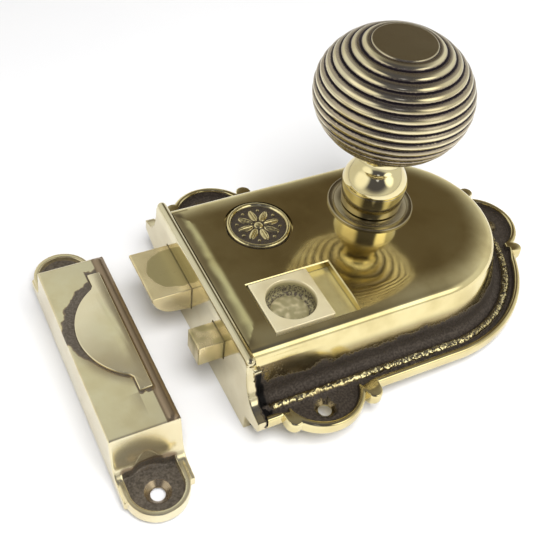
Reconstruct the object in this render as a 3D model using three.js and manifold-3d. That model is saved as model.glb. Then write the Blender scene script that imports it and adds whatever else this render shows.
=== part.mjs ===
// Rim night latch: a cast brass case with a beehive knob, a thumb slide and two bolts, and its keep.
//
// Millimetres. Each piece is drawn with x = 0 at the front face of the fore-end, y = 0 on the centre line
// of the case and z = 0 at the back of the case, which lies on the door. +X runs from the fore-end to the
// rounded tail and +Z out of the door. The finished group is then moved along X, so that its origin is level
// with the spindle.

import * as THREE from 'three';
import { mergeVertices } from 'three/addons/utils/BufferGeometryUtils.js';
import Module from 'manifold-3d';

const wasm = await Module();
wasm.setup();

// ---------------------------------------------------------------- driving dimensions

const CASE_LENGTH = 114;
const CASE_HALF_WIDTH = 36.5;
const CASE_HEIGHT = 22;
const CASE_EDGE_ROUND = 3.5;
const WALL = 3;

const FLANGE_MARGIN = 13;
const FLANGE_HEIGHT = 4.6;
const FLANGE_FLOOR = 2.6;
const RIM_WIDTH = 2.2;
const RIDGE_REACH = [6.4, 8.6];
const RIDGE_SINK = 0.3;
const EAR_RADIUS = 15.5;
const EAR_OVERHANG = 9.6;
const SIDE_EAR_X = 24.8;
const TAIL_EAR_Y = 2;
const SCREW_RADIUS = 2.3;
const COUNTERSINK_RADIUS = 4.6;

const PLATE_THICKNESS = 3.4;
const PLATE_HALF_WIDTH = 38.5;
const LIP_HALF_WIDTH = 40.5;
const LIP_DEPTH = 9.5;
const LIP_THICKNESS = 3;
const SEAM = 0.3;
const BEAD_RISE = 0.8;

const BACK_PLATE_THICKNESS = 1.6;
const BACK_PLATE_MARGIN = 1.6;

const KNOB_X = 73;
const KNOB_Y = 12.3;
const KNOB_RADIUS = 27;
const KNOB_CENTRE_Z = 70.2;
const KNOB_POLAR_RADIUS = 21.6;
const KNOB_FLAT_RADIUS = 10.8;
const KNOB_REEDS = 17;
const COLLAR_RADIUS = 11;
const SHOULDER_RADIUS = 11.7;
const SHOULDER_Z = 33;
const BELL_TOP_Z = 42.5;
const NECK_RADIUS = 6.5;
const NECK_TOP_Z = 49.4;
const BUSH_RADIUS = 15.7;
const BUSH_HEIGHT = 0.9;
const SLEEVE_RADIUS = 11.9;
const SLEEVE_BORE = 9.3;
const SPINDLE_SIDE = 7.6;
const SPINDLE_TOP_Z = 39.5;
const GRUB_SCREW_RADIUS = 2;
const GRUB_SCREW_Z = 30;

const LATCH_Y = [4.9, 27.8];
const LATCH_Z = [2, 11.6];
const LATCH_PROJECTION = 14.3;

const NIGHT_Y = [-22.1, -12.8];
const NIGHT_Z = [5.8, 14.1];
const NIGHT_PROJECTION = 8.8;
const NIGHT_TRAVEL = 8.7;

const SLOT_X = [13.5, 44.4];
const SLOT_Y = [-31.4, -8.4];
const SLIDE_X = [13.8, 35.4];
const SLIDE_Y = [-30.5, -8.9];
const SLIDE_RECESS_RADIUS = 8.5;
const SLIDE_RECESS_DEPTH = 6;
const SLIDE_PROUD = 0.3;

const MEDALLION_X = 29.6;
const MEDALLION_Y = 16;
const MEDALLION_RADIUS = 11.4;
const MEDALLION_SEAT_DEPTH = 1.2;

const KEEP_RIGHT_X = -22;
const KEEP_WIDTH = 23.4;
const KEEP_CENTRE_Y = -3.3;
const KEEP_HALF_LENGTH = 37;
const KEEP_BASE_HALF_LENGTH = 49.5;
const KEEP_BASE_Z = -11;
const KEEP_HEIGHT = 19.3;
const KEEP_EAR_RADIUS = 10.5;
const KEEP_EAR_TIP = 58;
const KEEP_EAR_MIDDLE = -0.4;
const KEEP_WALL_LEAN = 1.5;

const CRESCENT_EDGE_X = 7.8;
const CRESCENT_TAB_WIDTH = 4.3;
const CRESCENT_HALF_LENGTH = 26;
const CRESCENT_ARC_HALF_CHORD = 19.2;
const CRESCENT_ARC_RADIUS = 22.6;
const CRESCENT_THICKNESS = 1.3;
const CRESCENT_SHIFT = 3;

// How many flat sides stand for a full circle on large, middling and small round features.
const LARGE_SIDES = 32;
const SIDES = 24;
const SMALL_SIDES = 12;

// ---------------------------------------------------------------- values worked out from them

const CASE_FRONT_X = PLATE_THICKNESS + SEAM;
const TAIL_CENTRE_X = CASE_LENGTH - CASE_HALF_WIDTH;
const FLANGE_HALF_WIDTH = CASE_HALF_WIDTH + FLANGE_MARGIN;
const CEILING_Z = CASE_HEIGHT - WALL;
const SIDE_EAR_Y = FLANGE_HALF_WIDTH + EAR_OVERHANG - EAR_RADIUS;
const TAIL_EAR_X = TAIL_CENTRE_X + FLANGE_HALF_WIDTH + EAR_OVERHANG - EAR_RADIUS - 1.6;
const SIDE_HOLE_Y = FLANGE_HALF_WIDTH + 0.9;
const LATCH_MIDDLE_Z = (LATCH_Z[0] + LATCH_Z[1]) / 2;
const SLIDE_MIDDLE_X = (SLIDE_X[0] + SLIDE_X[1]) / 2;
const SLIDE_MIDDLE_Y = (SLIDE_Y[0] + SLIDE_Y[1]) / 2;
const SLIDE_TOP_Z = CASE_HEIGHT + SLIDE_PROUD;
const SLIDE_FLOOR_Z = SLIDE_TOP_Z - SLIDE_RECESS_DEPTH;
const KEEP_MIDDLE_X = KEEP_RIGHT_X - KEEP_WIDTH / 2;

// ---------------------------------------------------------------- materials

function metal(color, roughness) {
  return new THREE.MeshStandardMaterial({ color, roughness, metalness: 1 });
}

const polishedBrass = metal(0xc9b46a, 0.16);
const agedBrass = metal(0x6b5a33, 0.28);
const boltBrass = metal(0xc4a860, 0.22);
const plainBrass = metal(0xb0924a, 0.4);
const steel = metal(0x8d8d8a, 0.35);
const springSteel = metal(0x5d6066, 0.3);

// ---------------------------------------------------------------- solid helpers

function toSolid(geometry) {
  geometry.deleteAttribute('normal');
  geometry.deleteAttribute('uv');
  const merged = mergeVertices(geometry, 1e-4);
  return new wasm.Manifold(new wasm.Mesh({
    numProp: 3,
    vertProperties: new Float32Array(merged.attributes.position.array),
    triVerts: new Uint32Array(merged.index.array),
  }));
}

function toGeometry(solid) {
  const mesh = solid.getMesh();
  const geometry = new THREE.BufferGeometry();
  geometry.setAttribute('position', new THREE.BufferAttribute(mesh.vertProperties, 3));
  geometry.setIndex(new THREE.BufferAttribute(mesh.triVerts, 1));
  geometry.computeVertexNormals();
  return geometry;
}

function join(first, ...others) {
  return others.reduce((sum, other) => sum.add(other), first);
}

function cut(body, ...tools) {
  return tools.reduce((rest, tool) => rest.subtract(tool), body);
}

/** A rectangular block between the given limits. */
function block([x0, x1], [y0, y1], [z0, z1]) {
  const box = new THREE.BoxGeometry(x1 - x0, y1 - y0, z1 - z0);
  box.translate((x0 + x1) / 2, (y0 + y1) / 2, (z0 + z1) / 2);
  return toSolid(box);
}

/** A round bar standing on the XY plane, with its own radius at each end. */
function post(x, y, [z0, z1], bottomRadius, topRadius = bottomRadius, sides = SIDES) {
  const bar = new THREE.CylinderGeometry(topRadius, bottomRadius, z1 - z0, sides);
  bar.rotateX(Math.PI / 2);
  bar.translate(x, y, (z0 + z1) / 2);
  return toSolid(bar);
}

/** A round bar lying along X. */
function barAlongX([x0, x1], y, z, radius, sides = 16) {
  const bar = new THREE.CylinderGeometry(radius, radius, x1 - x0, sides);
  bar.rotateZ(Math.PI / 2);
  bar.translate((x0 + x1) / 2, y, z);
  return toSolid(bar);
}

/** A round bar lying along Y. */
function barAlongY(x, [y0, y1], z, radius, sides = 16) {
  const bar = new THREE.CylinderGeometry(radius, radius, y1 - y0, sides);
  bar.translate(x, (y0 + y1) / 2, z);
  return toSolid(bar);
}

/** A shape drawn in the XY plane, raised from z0 to z1. */
function prism(shape, z0, z1, curveSegments = 12) {
  const raised = new THREE.ExtrudeGeometry(shape, { depth: z1 - z0, bevelEnabled: false, curveSegments });
  raised.translate(0, 0, z0);
  return toSolid(raised);
}

/** A shape drawn with its x along Y and its y along Z, pushed along X from x0 to x1. */
function prismAlongX(shape, x0, x1, curveSegments = 6) {
  const pushed = new THREE.ExtrudeGeometry(shape, { depth: x1 - x0, bevelEnabled: false, curveSegments });
  pushed.rotateX(Math.PI / 2);
  pushed.rotateZ(Math.PI / 2);
  pushed.translate(x0, 0, 0);
  return toSolid(pushed);
}

/** A shape drawn with its x along X and its y along Z, pushed along Y from y0 to y1. */
function prismAlongY(shape, y0, y1, curveSegments = 6) {
  const pushed = new THREE.ExtrudeGeometry(shape, { depth: y1 - y0, bevelEnabled: false, curveSegments });
  pushed.rotateX(Math.PI / 2);
  pushed.translate(0, y1, 0);
  return toSolid(pushed);
}

/** A turned piece about the Z axis through (x, y), from a closed profile of [radius, z] points. */
function turned(profile, x, y, sides = LARGE_SIDES) {
  const points = profile.map(([radius, z]) => new THREE.Vector2(radius, z));
  const lathe = new THREE.LatheGeometry(points, sides);
  lathe.rotateX(Math.PI / 2);
  lathe.translate(x, y, 0);
  return toSolid(lathe);
}

function mesh(name, solid, material) {
  const piece = new THREE.Mesh(toGeometry(solid), material);
  piece.name = name;
  return piece;
}

// ---------------------------------------------------------------- case

/** The D-shaped plan of the case grown outwards by a margin, starting at frontX. */
function caseOutline(margin, frontX) {
  const radius = CASE_HALF_WIDTH + margin;
  const shape = new THREE.Shape();
  shape.moveTo(frontX, -radius);
  shape.lineTo(TAIL_CENTRE_X, -radius);
  shape.absarc(TAIL_CENTRE_X, 0, radius, -Math.PI / 2, Math.PI / 2, false);
  shape.lineTo(frontX, radius);
  shape.closePath();
  return shape;
}

/** The case block with its upper edge rounded over; the rounded lower edge is sunk out of use. */
function roundedCaseBlock() {
  const sunk = CASE_EDGE_ROUND;
  const raised = new THREE.ExtrudeGeometry(caseOutline(0, CASE_FRONT_X), {
    depth: CASE_HEIGHT - CASE_EDGE_ROUND,
    bevelEnabled: true,
    bevelThickness: CASE_EDGE_ROUND,
    bevelSize: CASE_EDGE_ROUND,
    bevelOffset: -CASE_EDGE_ROUND,
    bevelSegments: 3,
    curveSegments: 12,
  });
  const body = toSolid(raised);
  const below = block([-10, CASE_LENGTH + 10], [-60, 60], [-2 * sunk, 0]);
  return cut(body, below);
}

/** The three screw ears: two at the fore-end and one at the tail, each a lobe between two small beads. */
function earCentres() {
  return [
    { x: SIDE_EAR_X, y: -SIDE_EAR_Y },
    { x: SIDE_EAR_X, y: SIDE_EAR_Y },
    { x: TAIL_EAR_X, y: TAIL_EAR_Y },
  ];
}

function earScrewPlaces() {
  return [
    { x: SIDE_EAR_X - 1, y: -SIDE_HOLE_Y },
    { x: SIDE_EAR_X - 1, y: SIDE_HOLE_Y },
    { x: TAIL_EAR_X + 6, y: TAIL_EAR_Y },
  ];
}

/** The small round beads where each ear's lobe meets the straight or curved rim. */
function earBeads() {
  const sideBeads = [-1, 1].flatMap((side) => [-13.6, 16.2].map((alongEdge) => ({
    x: SIDE_EAR_X + alongEdge,
    y: side * (FLANGE_HALF_WIDTH + 2.2),
    radius: 2.9,
  })));
  const tailBeads = [
    { degrees: -15.5, stand: 1.6, radius: 2.4 },
    { degrees: 22, stand: 1.9, radius: 2.7 },
  ].map(({ degrees, stand, radius }) => {
    const angle = THREE.MathUtils.degToRad(degrees);
    const reach = FLANGE_HALF_WIDTH + stand;
    return { x: TAIL_CENTRE_X + reach * Math.cos(angle), y: reach * Math.sin(angle), radius };
  });
  return [...sideBeads, ...tailBeads].map(({ x, y, radius }) => (
    post(x, y, [0, FLANGE_HEIGHT], radius, radius, SMALL_SIDES)
  ));
}

/** The low flange round the case: a raised rim, a sunk field and a ridge in the field. */
function flange() {
  const plate = prism(caseOutline(FLANGE_MARGIN, CASE_FRONT_X), 0, FLANGE_HEIGHT);
  const ears = earCentres().map(({ x, y }) => post(x, y, [0, FLANGE_HEIGHT], EAR_RADIUS));
  const front = block([-30, CASE_FRONT_X], [-70, 70], [-1, FLANGE_HEIGHT + 1]);
  const outer = cut(join(plate, ...ears, ...earBeads()), front);
  const fieldOutline = caseOutline(FLANGE_MARGIN - RIM_WIDTH, CASE_FRONT_X - 1);
  const field = prism(fieldOutline, FLANGE_FLOOR, FLANGE_HEIGHT + 1);
  const earFields = earCentres().map(({ x, y }) => {
    const radius = EAR_RADIUS - RIM_WIDTH;
    return post(x, y, [FLANGE_FLOOR, FLANGE_HEIGHT + 1], radius);
  });
  const ridge = cut(
    prism(caseOutline(RIDGE_REACH[1], CASE_FRONT_X), FLANGE_FLOOR - 1, FLANGE_HEIGHT - RIDGE_SINK),
    prism(caseOutline(RIDGE_REACH[0], CASE_FRONT_X - 1), FLANGE_FLOOR - 2, FLANGE_HEIGHT),
  );
  return join(cut(outer, field, ...earFields), ridge);
}

const BACK_SCREW_PLACES = [
  { name: 'front_near', x: 12.4, y: -31.2 },
  { name: 'front_far', x: 12.4, y: 31.2 },
  { name: 'tail_near', x: 99.6, y: -22.1 },
  { name: 'tail_far', x: 99.6, y: 22.1 },
];

const RIVET_PLACES = [
  { name: 'near', y: -28.5, z: 13 },
  { name: 'middle', y: -4.2, z: 13 },
  { name: 'far', y: 30.6, z: 14.4 },
];
const RIVET_RADIUS = 1.8;
const RIVET_HEAD_RADIUS = 2.6;
const RIVET_HEAD_HEIGHT = 1.2;
const BOSS_RADIUS = 2.8;
const BOSS_TOP_Z = 12;
const PILOT_RADIUS = 1.4;
const PILOT_TOP_Z = 9.5;

/** The openings that both bolts pass through, in the front wall and in the fore-end plate. */
function boltOpenings(x0, x1) {
  const gap = 0.4;
  const grown = ([low, high]) => [low - gap, high + gap];
  const latch = block([x0, x1], grown(LATCH_Y), grown(LATCH_Z));
  const night = block([x0, x1], grown(NIGHT_Y), grown(NIGHT_Z));
  return [latch, night];
}

function caseShell() {
  const outer = join(flange(), roundedCaseBlock());
  const hollow = prism(caseOutline(-WALL, CASE_FRONT_X + WALL), -1, CEILING_Z);
  const rebateMargin = BACK_PLATE_MARGIN - SEAM;
  const rebateOutline = caseOutline(-rebateMargin, CASE_FRONT_X + rebateMargin + 0.5);
  const rebate = prism(rebateOutline, -1, BACK_PLATE_THICKNESS);
  const bosses = BACK_SCREW_PLACES.map(({ x, y }) => (
    post(x, y, [BACK_PLATE_THICKNESS, BOSS_TOP_Z], BOSS_RADIUS, BOSS_RADIUS, SMALL_SIDES)
  ));
  const pilots = BACK_SCREW_PLACES.map(({ x, y }) => (
    post(x, y, [0, PILOT_TOP_Z], PILOT_RADIUS, PILOT_RADIUS, SMALL_SIDES)
  ));
  const throughTop = [CEILING_Z - 1, CASE_HEIGHT + 1];
  const slot = block(SLOT_X, SLOT_Y, throughTop);
  const holeRadius = SLEEVE_RADIUS + 0.1;
  const knobHole = post(KNOB_X, KNOB_Y, throughTop, holeRadius, holeRadius, LARGE_SIDES);
  const seatZ = [CASE_HEIGHT - MEDALLION_SEAT_DEPTH, CASE_HEIGHT + 1];
  const medallionSeat = post(MEDALLION_X, MEDALLION_Y, seatZ, MEDALLION_RADIUS + 0.7);
  const rivetHoles = RIVET_PLACES.map(({ y, z }) => barAlongX([0, 10], y, z, RIVET_RADIUS + 0.05));
  const screwHoles = earScrewPlaces().flatMap(({ x, y }) => [
    post(x, y, [-1, FLANGE_HEIGHT + 1], SCREW_RADIUS),
    post(x, y, [FLANGE_FLOOR - 2.3, FLANGE_FLOOR + 1.2], SCREW_RADIUS, COUNTERSINK_RADIUS + 1.2),
  ]);
  const shell = join(cut(outer, hollow, rebate), ...bosses);
  const openings = boltOpenings(CASE_FRONT_X - 1, CASE_FRONT_X + WALL + 1);
  return cut(shell, slot, knobHole, medallionSeat, ...pilots, ...rivetHoles, ...openings, ...screwHoles);
}

// ---------------------------------------------------------------- fore-end

/** The fore-end from the front: straight above, flared to the flange's rim, a lip below the case's back. */
function foreEndOutline() {
  const beadMiddle = CASE_HEIGHT + BEAD_RISE - PLATE_THICKNESS / 2;
  const waistZ = 11;
  const halfWidthAtWaist = PLATE_HALF_WIDTH + 1.6;
  const corner = 2;
  const lipShoulder = 3;
  const shape = new THREE.Shape();
  shape.moveTo(-PLATE_HALF_WIDTH + corner, beadMiddle);
  shape.quadraticCurveTo(-PLATE_HALF_WIDTH, beadMiddle, -PLATE_HALF_WIDTH, beadMiddle - corner);
  shape.lineTo(-halfWidthAtWaist, waistZ);
  shape.quadraticCurveTo(-halfWidthAtWaist - 1.6, FLANGE_HEIGHT + 1.5, -FLANGE_HALF_WIDTH, FLANGE_HEIGHT);
  shape.lineTo(-FLANGE_HALF_WIDTH, 0);
  shape.lineTo(-LIP_HALF_WIDTH, -lipShoulder);
  shape.lineTo(-LIP_HALF_WIDTH, -LIP_DEPTH);
  shape.lineTo(LIP_HALF_WIDTH, -LIP_DEPTH);
  shape.lineTo(LIP_HALF_WIDTH, -lipShoulder);
  shape.lineTo(FLANGE_HALF_WIDTH, 0);
  shape.lineTo(FLANGE_HALF_WIDTH, FLANGE_HEIGHT);
  shape.quadraticCurveTo(halfWidthAtWaist + 1.6, FLANGE_HEIGHT + 1.5, halfWidthAtWaist, waistZ);
  shape.lineTo(PLATE_HALF_WIDTH, beadMiddle - corner);
  shape.quadraticCurveTo(PLATE_HALF_WIDTH, beadMiddle, PLATE_HALF_WIDTH - corner, beadMiddle);
  shape.closePath();
  return shape;
}

function foreEndPlate() {
  const plate = prismAlongX(foreEndOutline(), 0, PLATE_THICKNESS);
  const beadRadius = PLATE_THICKNESS / 2;
  const beadZ = CASE_HEIGHT + BEAD_RISE - beadRadius;
  const bead = barAlongY(beadRadius, [-PLATE_HALF_WIDTH + 1, PLATE_HALF_WIDTH - 1], beadZ, beadRadius);
  const rivetHoles = RIVET_PLACES.map(({ y, z }) => barAlongX([-1, 10], y, z, RIVET_RADIUS + 0.05));
  const lipStep = block([LIP_THICKNESS, PLATE_THICKNESS + 1], [-60, 60], [-LIP_DEPTH - 1, -SEAM]);
  return cut(join(plate, bead), lipStep, ...boltOpenings(-1, PLATE_THICKNESS + 1), ...rivetHoles);
}

/** A rivet filed flush with the fore-end, with its head inside the case. */
function foreEndRivet({ y, z }) {
  const inside = CASE_FRONT_X + WALL;
  const end = inside + RIVET_HEAD_HEIGHT;
  return join(barAlongX([0, end], y, z, RIVET_RADIUS), barAlongX([inside, end], y, z, RIVET_HEAD_RADIUS));
}

// ---------------------------------------------------------------- back plate and its screws

// Radius of the follower's lower journal, which turns in the back plate.
const BEARING_RADIUS = 6.1;

function backPlate() {
  const outline = caseOutline(-BACK_PLATE_MARGIN, CASE_FRONT_X + BACK_PLATE_MARGIN + 0.6);
  const plate = prism(outline, 0, BACK_PLATE_THICKNESS);
  const bearing = post(KNOB_X, KNOB_Y, [-1, BACK_PLATE_THICKNESS + 1], BEARING_RADIUS + 0.3);
  const holeRadius = 1.6;
  const sinkRadius = 3.3;
  const screwHoles = BACK_SCREW_PLACES.flatMap(({ x, y }) => [
    post(x, y, [-1, BACK_PLATE_THICKNESS + 1], holeRadius, holeRadius, SMALL_SIDES),
    post(x, y, [-0.2, 1.4], sinkRadius, holeRadius, SMALL_SIDES),
  ]);
  return cut(plate, bearing, ...screwHoles);
}

/** A small countersunk screw with a driver slot, its head just under the back of the case. */
function backScrew({ x, y }) {
  const headRadius = 2.7;
  const shankRadius = 1.3;
  const head = post(x, y, [0.1, 1.3], headRadius, shankRadius, SMALL_SIDES);
  const shank = post(x, y, [1.2, PILOT_TOP_Z - 1], shankRadius, shankRadius, SMALL_SIDES);
  const driverSlot = block([x - 3, x + 3], [y - 0.3, y + 0.3], [0, 0.6]);
  return cut(join(head, shank), driverSlot);
}

// ---------------------------------------------------------------- medallion and knob bush

/** The round badge on the case: a raised border round a plain eight-petalled rosette. */
function medallion() {
  const seat = CASE_HEIGHT - MEDALLION_SEAT_DEPTH;
  const face = CASE_HEIGHT - 0.3;
  const petals = 8;
  const petalReach = 5.6;
  const disc = post(MEDALLION_X, MEDALLION_Y, [seat, face], MEDALLION_RADIUS);
  const border = turned([
    [MEDALLION_RADIUS - 1.4, face - 0.2],
    [MEDALLION_RADIUS, face - 0.2],
    [MEDALLION_RADIUS - 0.3, face + 0.7],
    [MEDALLION_RADIUS - 1.1, face + 0.7],
    [MEDALLION_RADIUS - 1.4, face - 0.2],
  ], MEDALLION_X, MEDALLION_Y, SIDES);
  const boss = post(MEDALLION_X, MEDALLION_Y, [face - 0.2, face + 0.8], 2, 1.4, SMALL_SIDES);
  const rosette = Array.from({ length: petals }, (_, index) => {
    const angle = index * 2 * Math.PI / petals;
    const x = MEDALLION_X + petalReach * Math.cos(angle);
    const y = MEDALLION_Y + petalReach * Math.sin(angle);
    return post(x, y, [face - 0.2, face + 0.5], 1.9, 1.3, 8);
  });
  return join(disc, border, boss, ...rosette);
}

/** The ring under the knob, with a sleeve through the case that the follower turns in. */
function knobBush() {
  const top = CASE_HEIGHT + BUSH_HEIGHT;
  const corner = 0.4;
  return turned([
    [SLEEVE_BORE, CEILING_Z],
    [SLEEVE_RADIUS, CEILING_Z],
    [SLEEVE_RADIUS, CASE_HEIGHT],
    [BUSH_RADIUS, CASE_HEIGHT],
    [BUSH_RADIUS, top - corner],
    [BUSH_RADIUS - corner, top],
    [SLEEVE_BORE, top],
    [SLEEVE_BORE, CEILING_Z],
  ], KNOB_X, KNOB_Y);
}

// ---------------------------------------------------------------- knob, drawn about its own axis

const COLLAR_BOTTOM_Z = CASE_HEIGHT + BUSH_HEIGHT + 0.5;
const SPIGOT_RADIUS = 4;
const SPIGOT_TOP_Z = 60;

/** Radius of the reeded ball at a height above the back of the case. */
function ballRadius(z) {
  const t = (z - KNOB_CENTRE_Z) / KNOB_POLAR_RADIUS;
  return KNOB_RADIUS * Math.sqrt(Math.max(0, 1 - t * t));
}

/** The beehive ball: a flattened ball with a flat crown and rings of half-round reeds below it. */
function knobBall() {
  const flatZ = KNOB_CENTRE_Z + KNOB_POLAR_RADIUS * Math.sqrt(1 - (KNOB_FLAT_RADIUS / KNOB_RADIUS) ** 2);
  const reedDepth = 0.9;
  const bottomAngle = Math.asin((NECK_TOP_Z - KNOB_CENTRE_Z) / KNOB_POLAR_RADIUS);
  const topAngle = Math.asin((flatZ - KNOB_CENTRE_Z) / KNOB_POLAR_RADIUS);
  const profile = [[0, NECK_TOP_Z]];
  for (let step = 0; step <= 2 * KNOB_REEDS; step += 1) {
    const angle = bottomAngle + (topAngle - bottomAngle) * step / (2 * KNOB_REEDS);
    const z = KNOB_CENTRE_Z + KNOB_POLAR_RADIUS * Math.sin(angle);
    const inset = step % 2 === 0 ? reedDepth : 0;
    profile.push([ballRadius(z) - inset, z]);
  }
  profile.push([KNOB_FLAT_RADIUS - 1.6, flatZ]);
  profile.push([0, flatZ]);
  const ball = turned(profile, 0, 0, 28);
  const socketRadius = SPIGOT_RADIUS + 0.1;
  const socket = post(0, 0, [NECK_TOP_Z - 1, SPIGOT_TOP_Z + 0.2], socketRadius, socketRadius, 16);
  return cut(ball, socket);
}

/** The turned shank: a cylinder and bell shoulder below, a neck, and a spigot up into the ball. */
function knobShank() {
  const bellSteps = 6;
  const bell = Array.from({ length: bellSteps + 1 }, (_, step) => {
    const rise = step / bellSteps;
    const radius = NECK_RADIUS + (SHOULDER_RADIUS - NECK_RADIUS) * (1 - rise ** 2);
    return [radius, SHOULDER_Z + (BELL_TOP_Z - SHOULDER_Z) * rise];
  });
  const ledgeZ = NECK_TOP_Z - 0.05;
  const body = turned([
    [0, COLLAR_BOTTOM_Z],
    [COLLAR_RADIUS, COLLAR_BOTTOM_Z],
    ...bell,
    [NECK_RADIUS, ledgeZ],
    [SPIGOT_RADIUS, ledgeZ],
    [SPIGOT_RADIUS, SPIGOT_TOP_Z],
    [0, SPIGOT_TOP_Z],
  ], 0, 0, SIDES);
  const half = SPINDLE_SIDE / 2 + 0.1;
  const squareHole = block([-half, half], [-half, half], [COLLAR_BOTTOM_Z - 1, SPINDLE_TOP_Z + 0.1]);
  const screwHole = barAlongY(0, [0, COLLAR_RADIUS + 3], GRUB_SCREW_Z, GRUB_SCREW_RADIUS + 0.1, 16);
  return cut(body, squareHole, screwHole);
}

function spindle() {
  const half = SPINDLE_SIDE / 2;
  return block([-half, half], [-half, half], [0.6, SPINDLE_TOP_Z]);
}

/** The grub screw through the shank, tight against one side of the spindle. */
function knobGrubScrew() {
  const inner = SPINDLE_SIDE / 2 + 0.02;
  const outer = COLLAR_RADIUS - 0.4;
  const body = barAlongY(0, [inner, outer], GRUB_SCREW_Z, GRUB_SCREW_RADIUS, 16);
  const driverSlot = block([-3, 3], [outer - 0.8, outer + 1], [GRUB_SCREW_Z - 0.3, GRUB_SCREW_Z + 0.3]);
  return cut(body, driverSlot);
}

/** The follower: a hub on the spindle with one arm that draws the latch bolt back. */
function follower() {
  const hubRadius = SLEEVE_BORE - 0.6;
  const hubBottom = BACK_PLATE_THICKNESS + 0.6;
  const hubTop = CEILING_Z + 3.2;
  const hub = turned([
    [0, 0.3],
    [BEARING_RADIUS, 0.3],
    [BEARING_RADIUS, hubBottom],
    [hubRadius, hubBottom],
    [hubRadius, hubTop],
    [0, hubTop],
  ], 0, 0, SIDES);
  const armReach = 18;
  const armHalfWidth = 2.5;
  const armZ = [7, 10.5];
  const arm = block([-armHalfWidth, armHalfWidth], [0, armReach - armHalfWidth], armZ);
  const tip = post(0, armReach - armHalfWidth, armZ, armHalfWidth, armHalfWidth, 16);
  const half = SPINDLE_SIDE / 2 + 0.05;
  const squareHole = block([-half, half], [-half, half], [-1, CASE_HEIGHT + 2]);
  return cut(join(hub, arm, tip), squareHole);
}

// ---------------------------------------------------------------- latch bolt and its spring

const LATCH_BAR_Y = [21.6, 27.2];
const LUG_X = [KNOB_X + 3, KNOB_X + 8];
const SPRING_Y = 11.5;
const SPRING_X = [18, 46];
const SPRING_COIL_RADIUS = 3.4;
const SPRING_PIN_RADIUS = 2.3;
const BAR_Z = [2.2, 5.2];

/** Side view of the latch bolt's head: square above, rounded away underneath towards the tip. */
function latchProfile() {
  const [bottom, top] = LATCH_Z;
  const shape = new THREE.Shape();
  shape.moveTo(-LATCH_PROJECTION, top);
  shape.lineTo(-LATCH_PROJECTION, top - 0.6);
  shape.quadraticCurveTo(-LATCH_PROJECTION + 4, bottom + 0.9, -LATCH_PROJECTION + 8.5, bottom + 0.6);
  shape.lineTo(-1, bottom);
  shape.lineTo(SPRING_X[0], bottom);
  shape.lineTo(SPRING_X[0], top);
  shape.closePath();
  return shape;
}

function latchBolt() {
  const head = prismAlongY(latchProfile(), LATCH_Y[0], LATCH_Y[1]);
  const bar = block([SPRING_X[0] - 1, LUG_X[1]], LATCH_BAR_Y, BAR_Z);
  const lug = block(LUG_X, LATCH_BAR_Y, [BAR_Z[1] - 1, 11]);
  const pinX = [SPRING_X[0] - 1, SPRING_X[0] + 9];
  const springPin = barAlongX(pinX, SPRING_Y, LATCH_MIDDLE_Z, SPRING_PIN_RADIUS, 16);
  return join(head, bar, lug, springPin);
}

/** A helix about an axis along X. */
class SpringPath extends THREE.Curve {
  constructor(x0, x1, y, z, radius, turns) {
    super();
    Object.assign(this, { x0, x1, y, z, radius, turns });
  }

  getPoint(t, target = new THREE.Vector3()) {
    const angle = t * this.turns * 2 * Math.PI;
    return target.set(
      this.x0 + (this.x1 - this.x0) * t,
      this.y + this.radius * Math.cos(angle),
      this.z + this.radius * Math.sin(angle),
    );
  }
}

function latchSpring() {
  const wireRadius = 0.55;
  const turns = 6;
  const section = new THREE.Shape();
  section.absarc(0, 0, wireRadius, 0, 2 * Math.PI, false);
  const endGap = wireRadius + 0.1;
  const [start, end] = [SPRING_X[0] + endGap, SPRING_X[1] - endGap];
  const path = new SpringPath(start, end, SPRING_Y, LATCH_MIDDLE_Z, SPRING_COIL_RADIUS, turns);
  const wire = new THREE.ExtrudeGeometry(section, { steps: turns * 11, curveSegments: 3, extrudePath: path });
  return toSolid(wire);
}

/** The stop that the latch spring pushes against, standing on the back plate. */
function springStop() {
  return block([SPRING_X[1], SPRING_X[1] + 3.2], [SPRING_Y - 5, SPRING_Y + 5], [BACK_PLATE_THICKNESS, 12]);
}

/** The staple on the back plate that the latch bolt's bar slides through. */
function latchStaple() {
  const [inner, outer] = LATCH_BAR_Y;
  const thickness = 1.2;
  const play = 0.4;
  const [x0, x1] = [36.5, 41];
  const side = thickness + play;
  const passageTop = BAR_Z[1] + 0.3;
  const top = passageTop + thickness + 0.1;
  const bridge = block([x0, x1], [inner - side, outer + side], [BACK_PLATE_THICKNESS, top]);
  const passage = block([x0 - 1, x1 + 1], [inner - play, outer + play], [0, passageTop]);
  return cut(bridge, passage);
}

// ---------------------------------------------------------------- night bolt and thumb slide

const CLICK_X = 39;
const CLICK_POST_X = 62;
const CLICK_STRIP_Y = -25.1;
const NOTCH_RADIUS = 1.4;
const RIVET_Y = SLIDE_MIDDLE_Y + 1.4;
const SLIDE_RIVET_RADIUS = 2;
const RIVET_HOLE_RADIUS = SLIDE_RIVET_RADIUS + 0.05;
const CUP_RADIUS = SLIDE_RECESS_RADIUS + 1.4;

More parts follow.
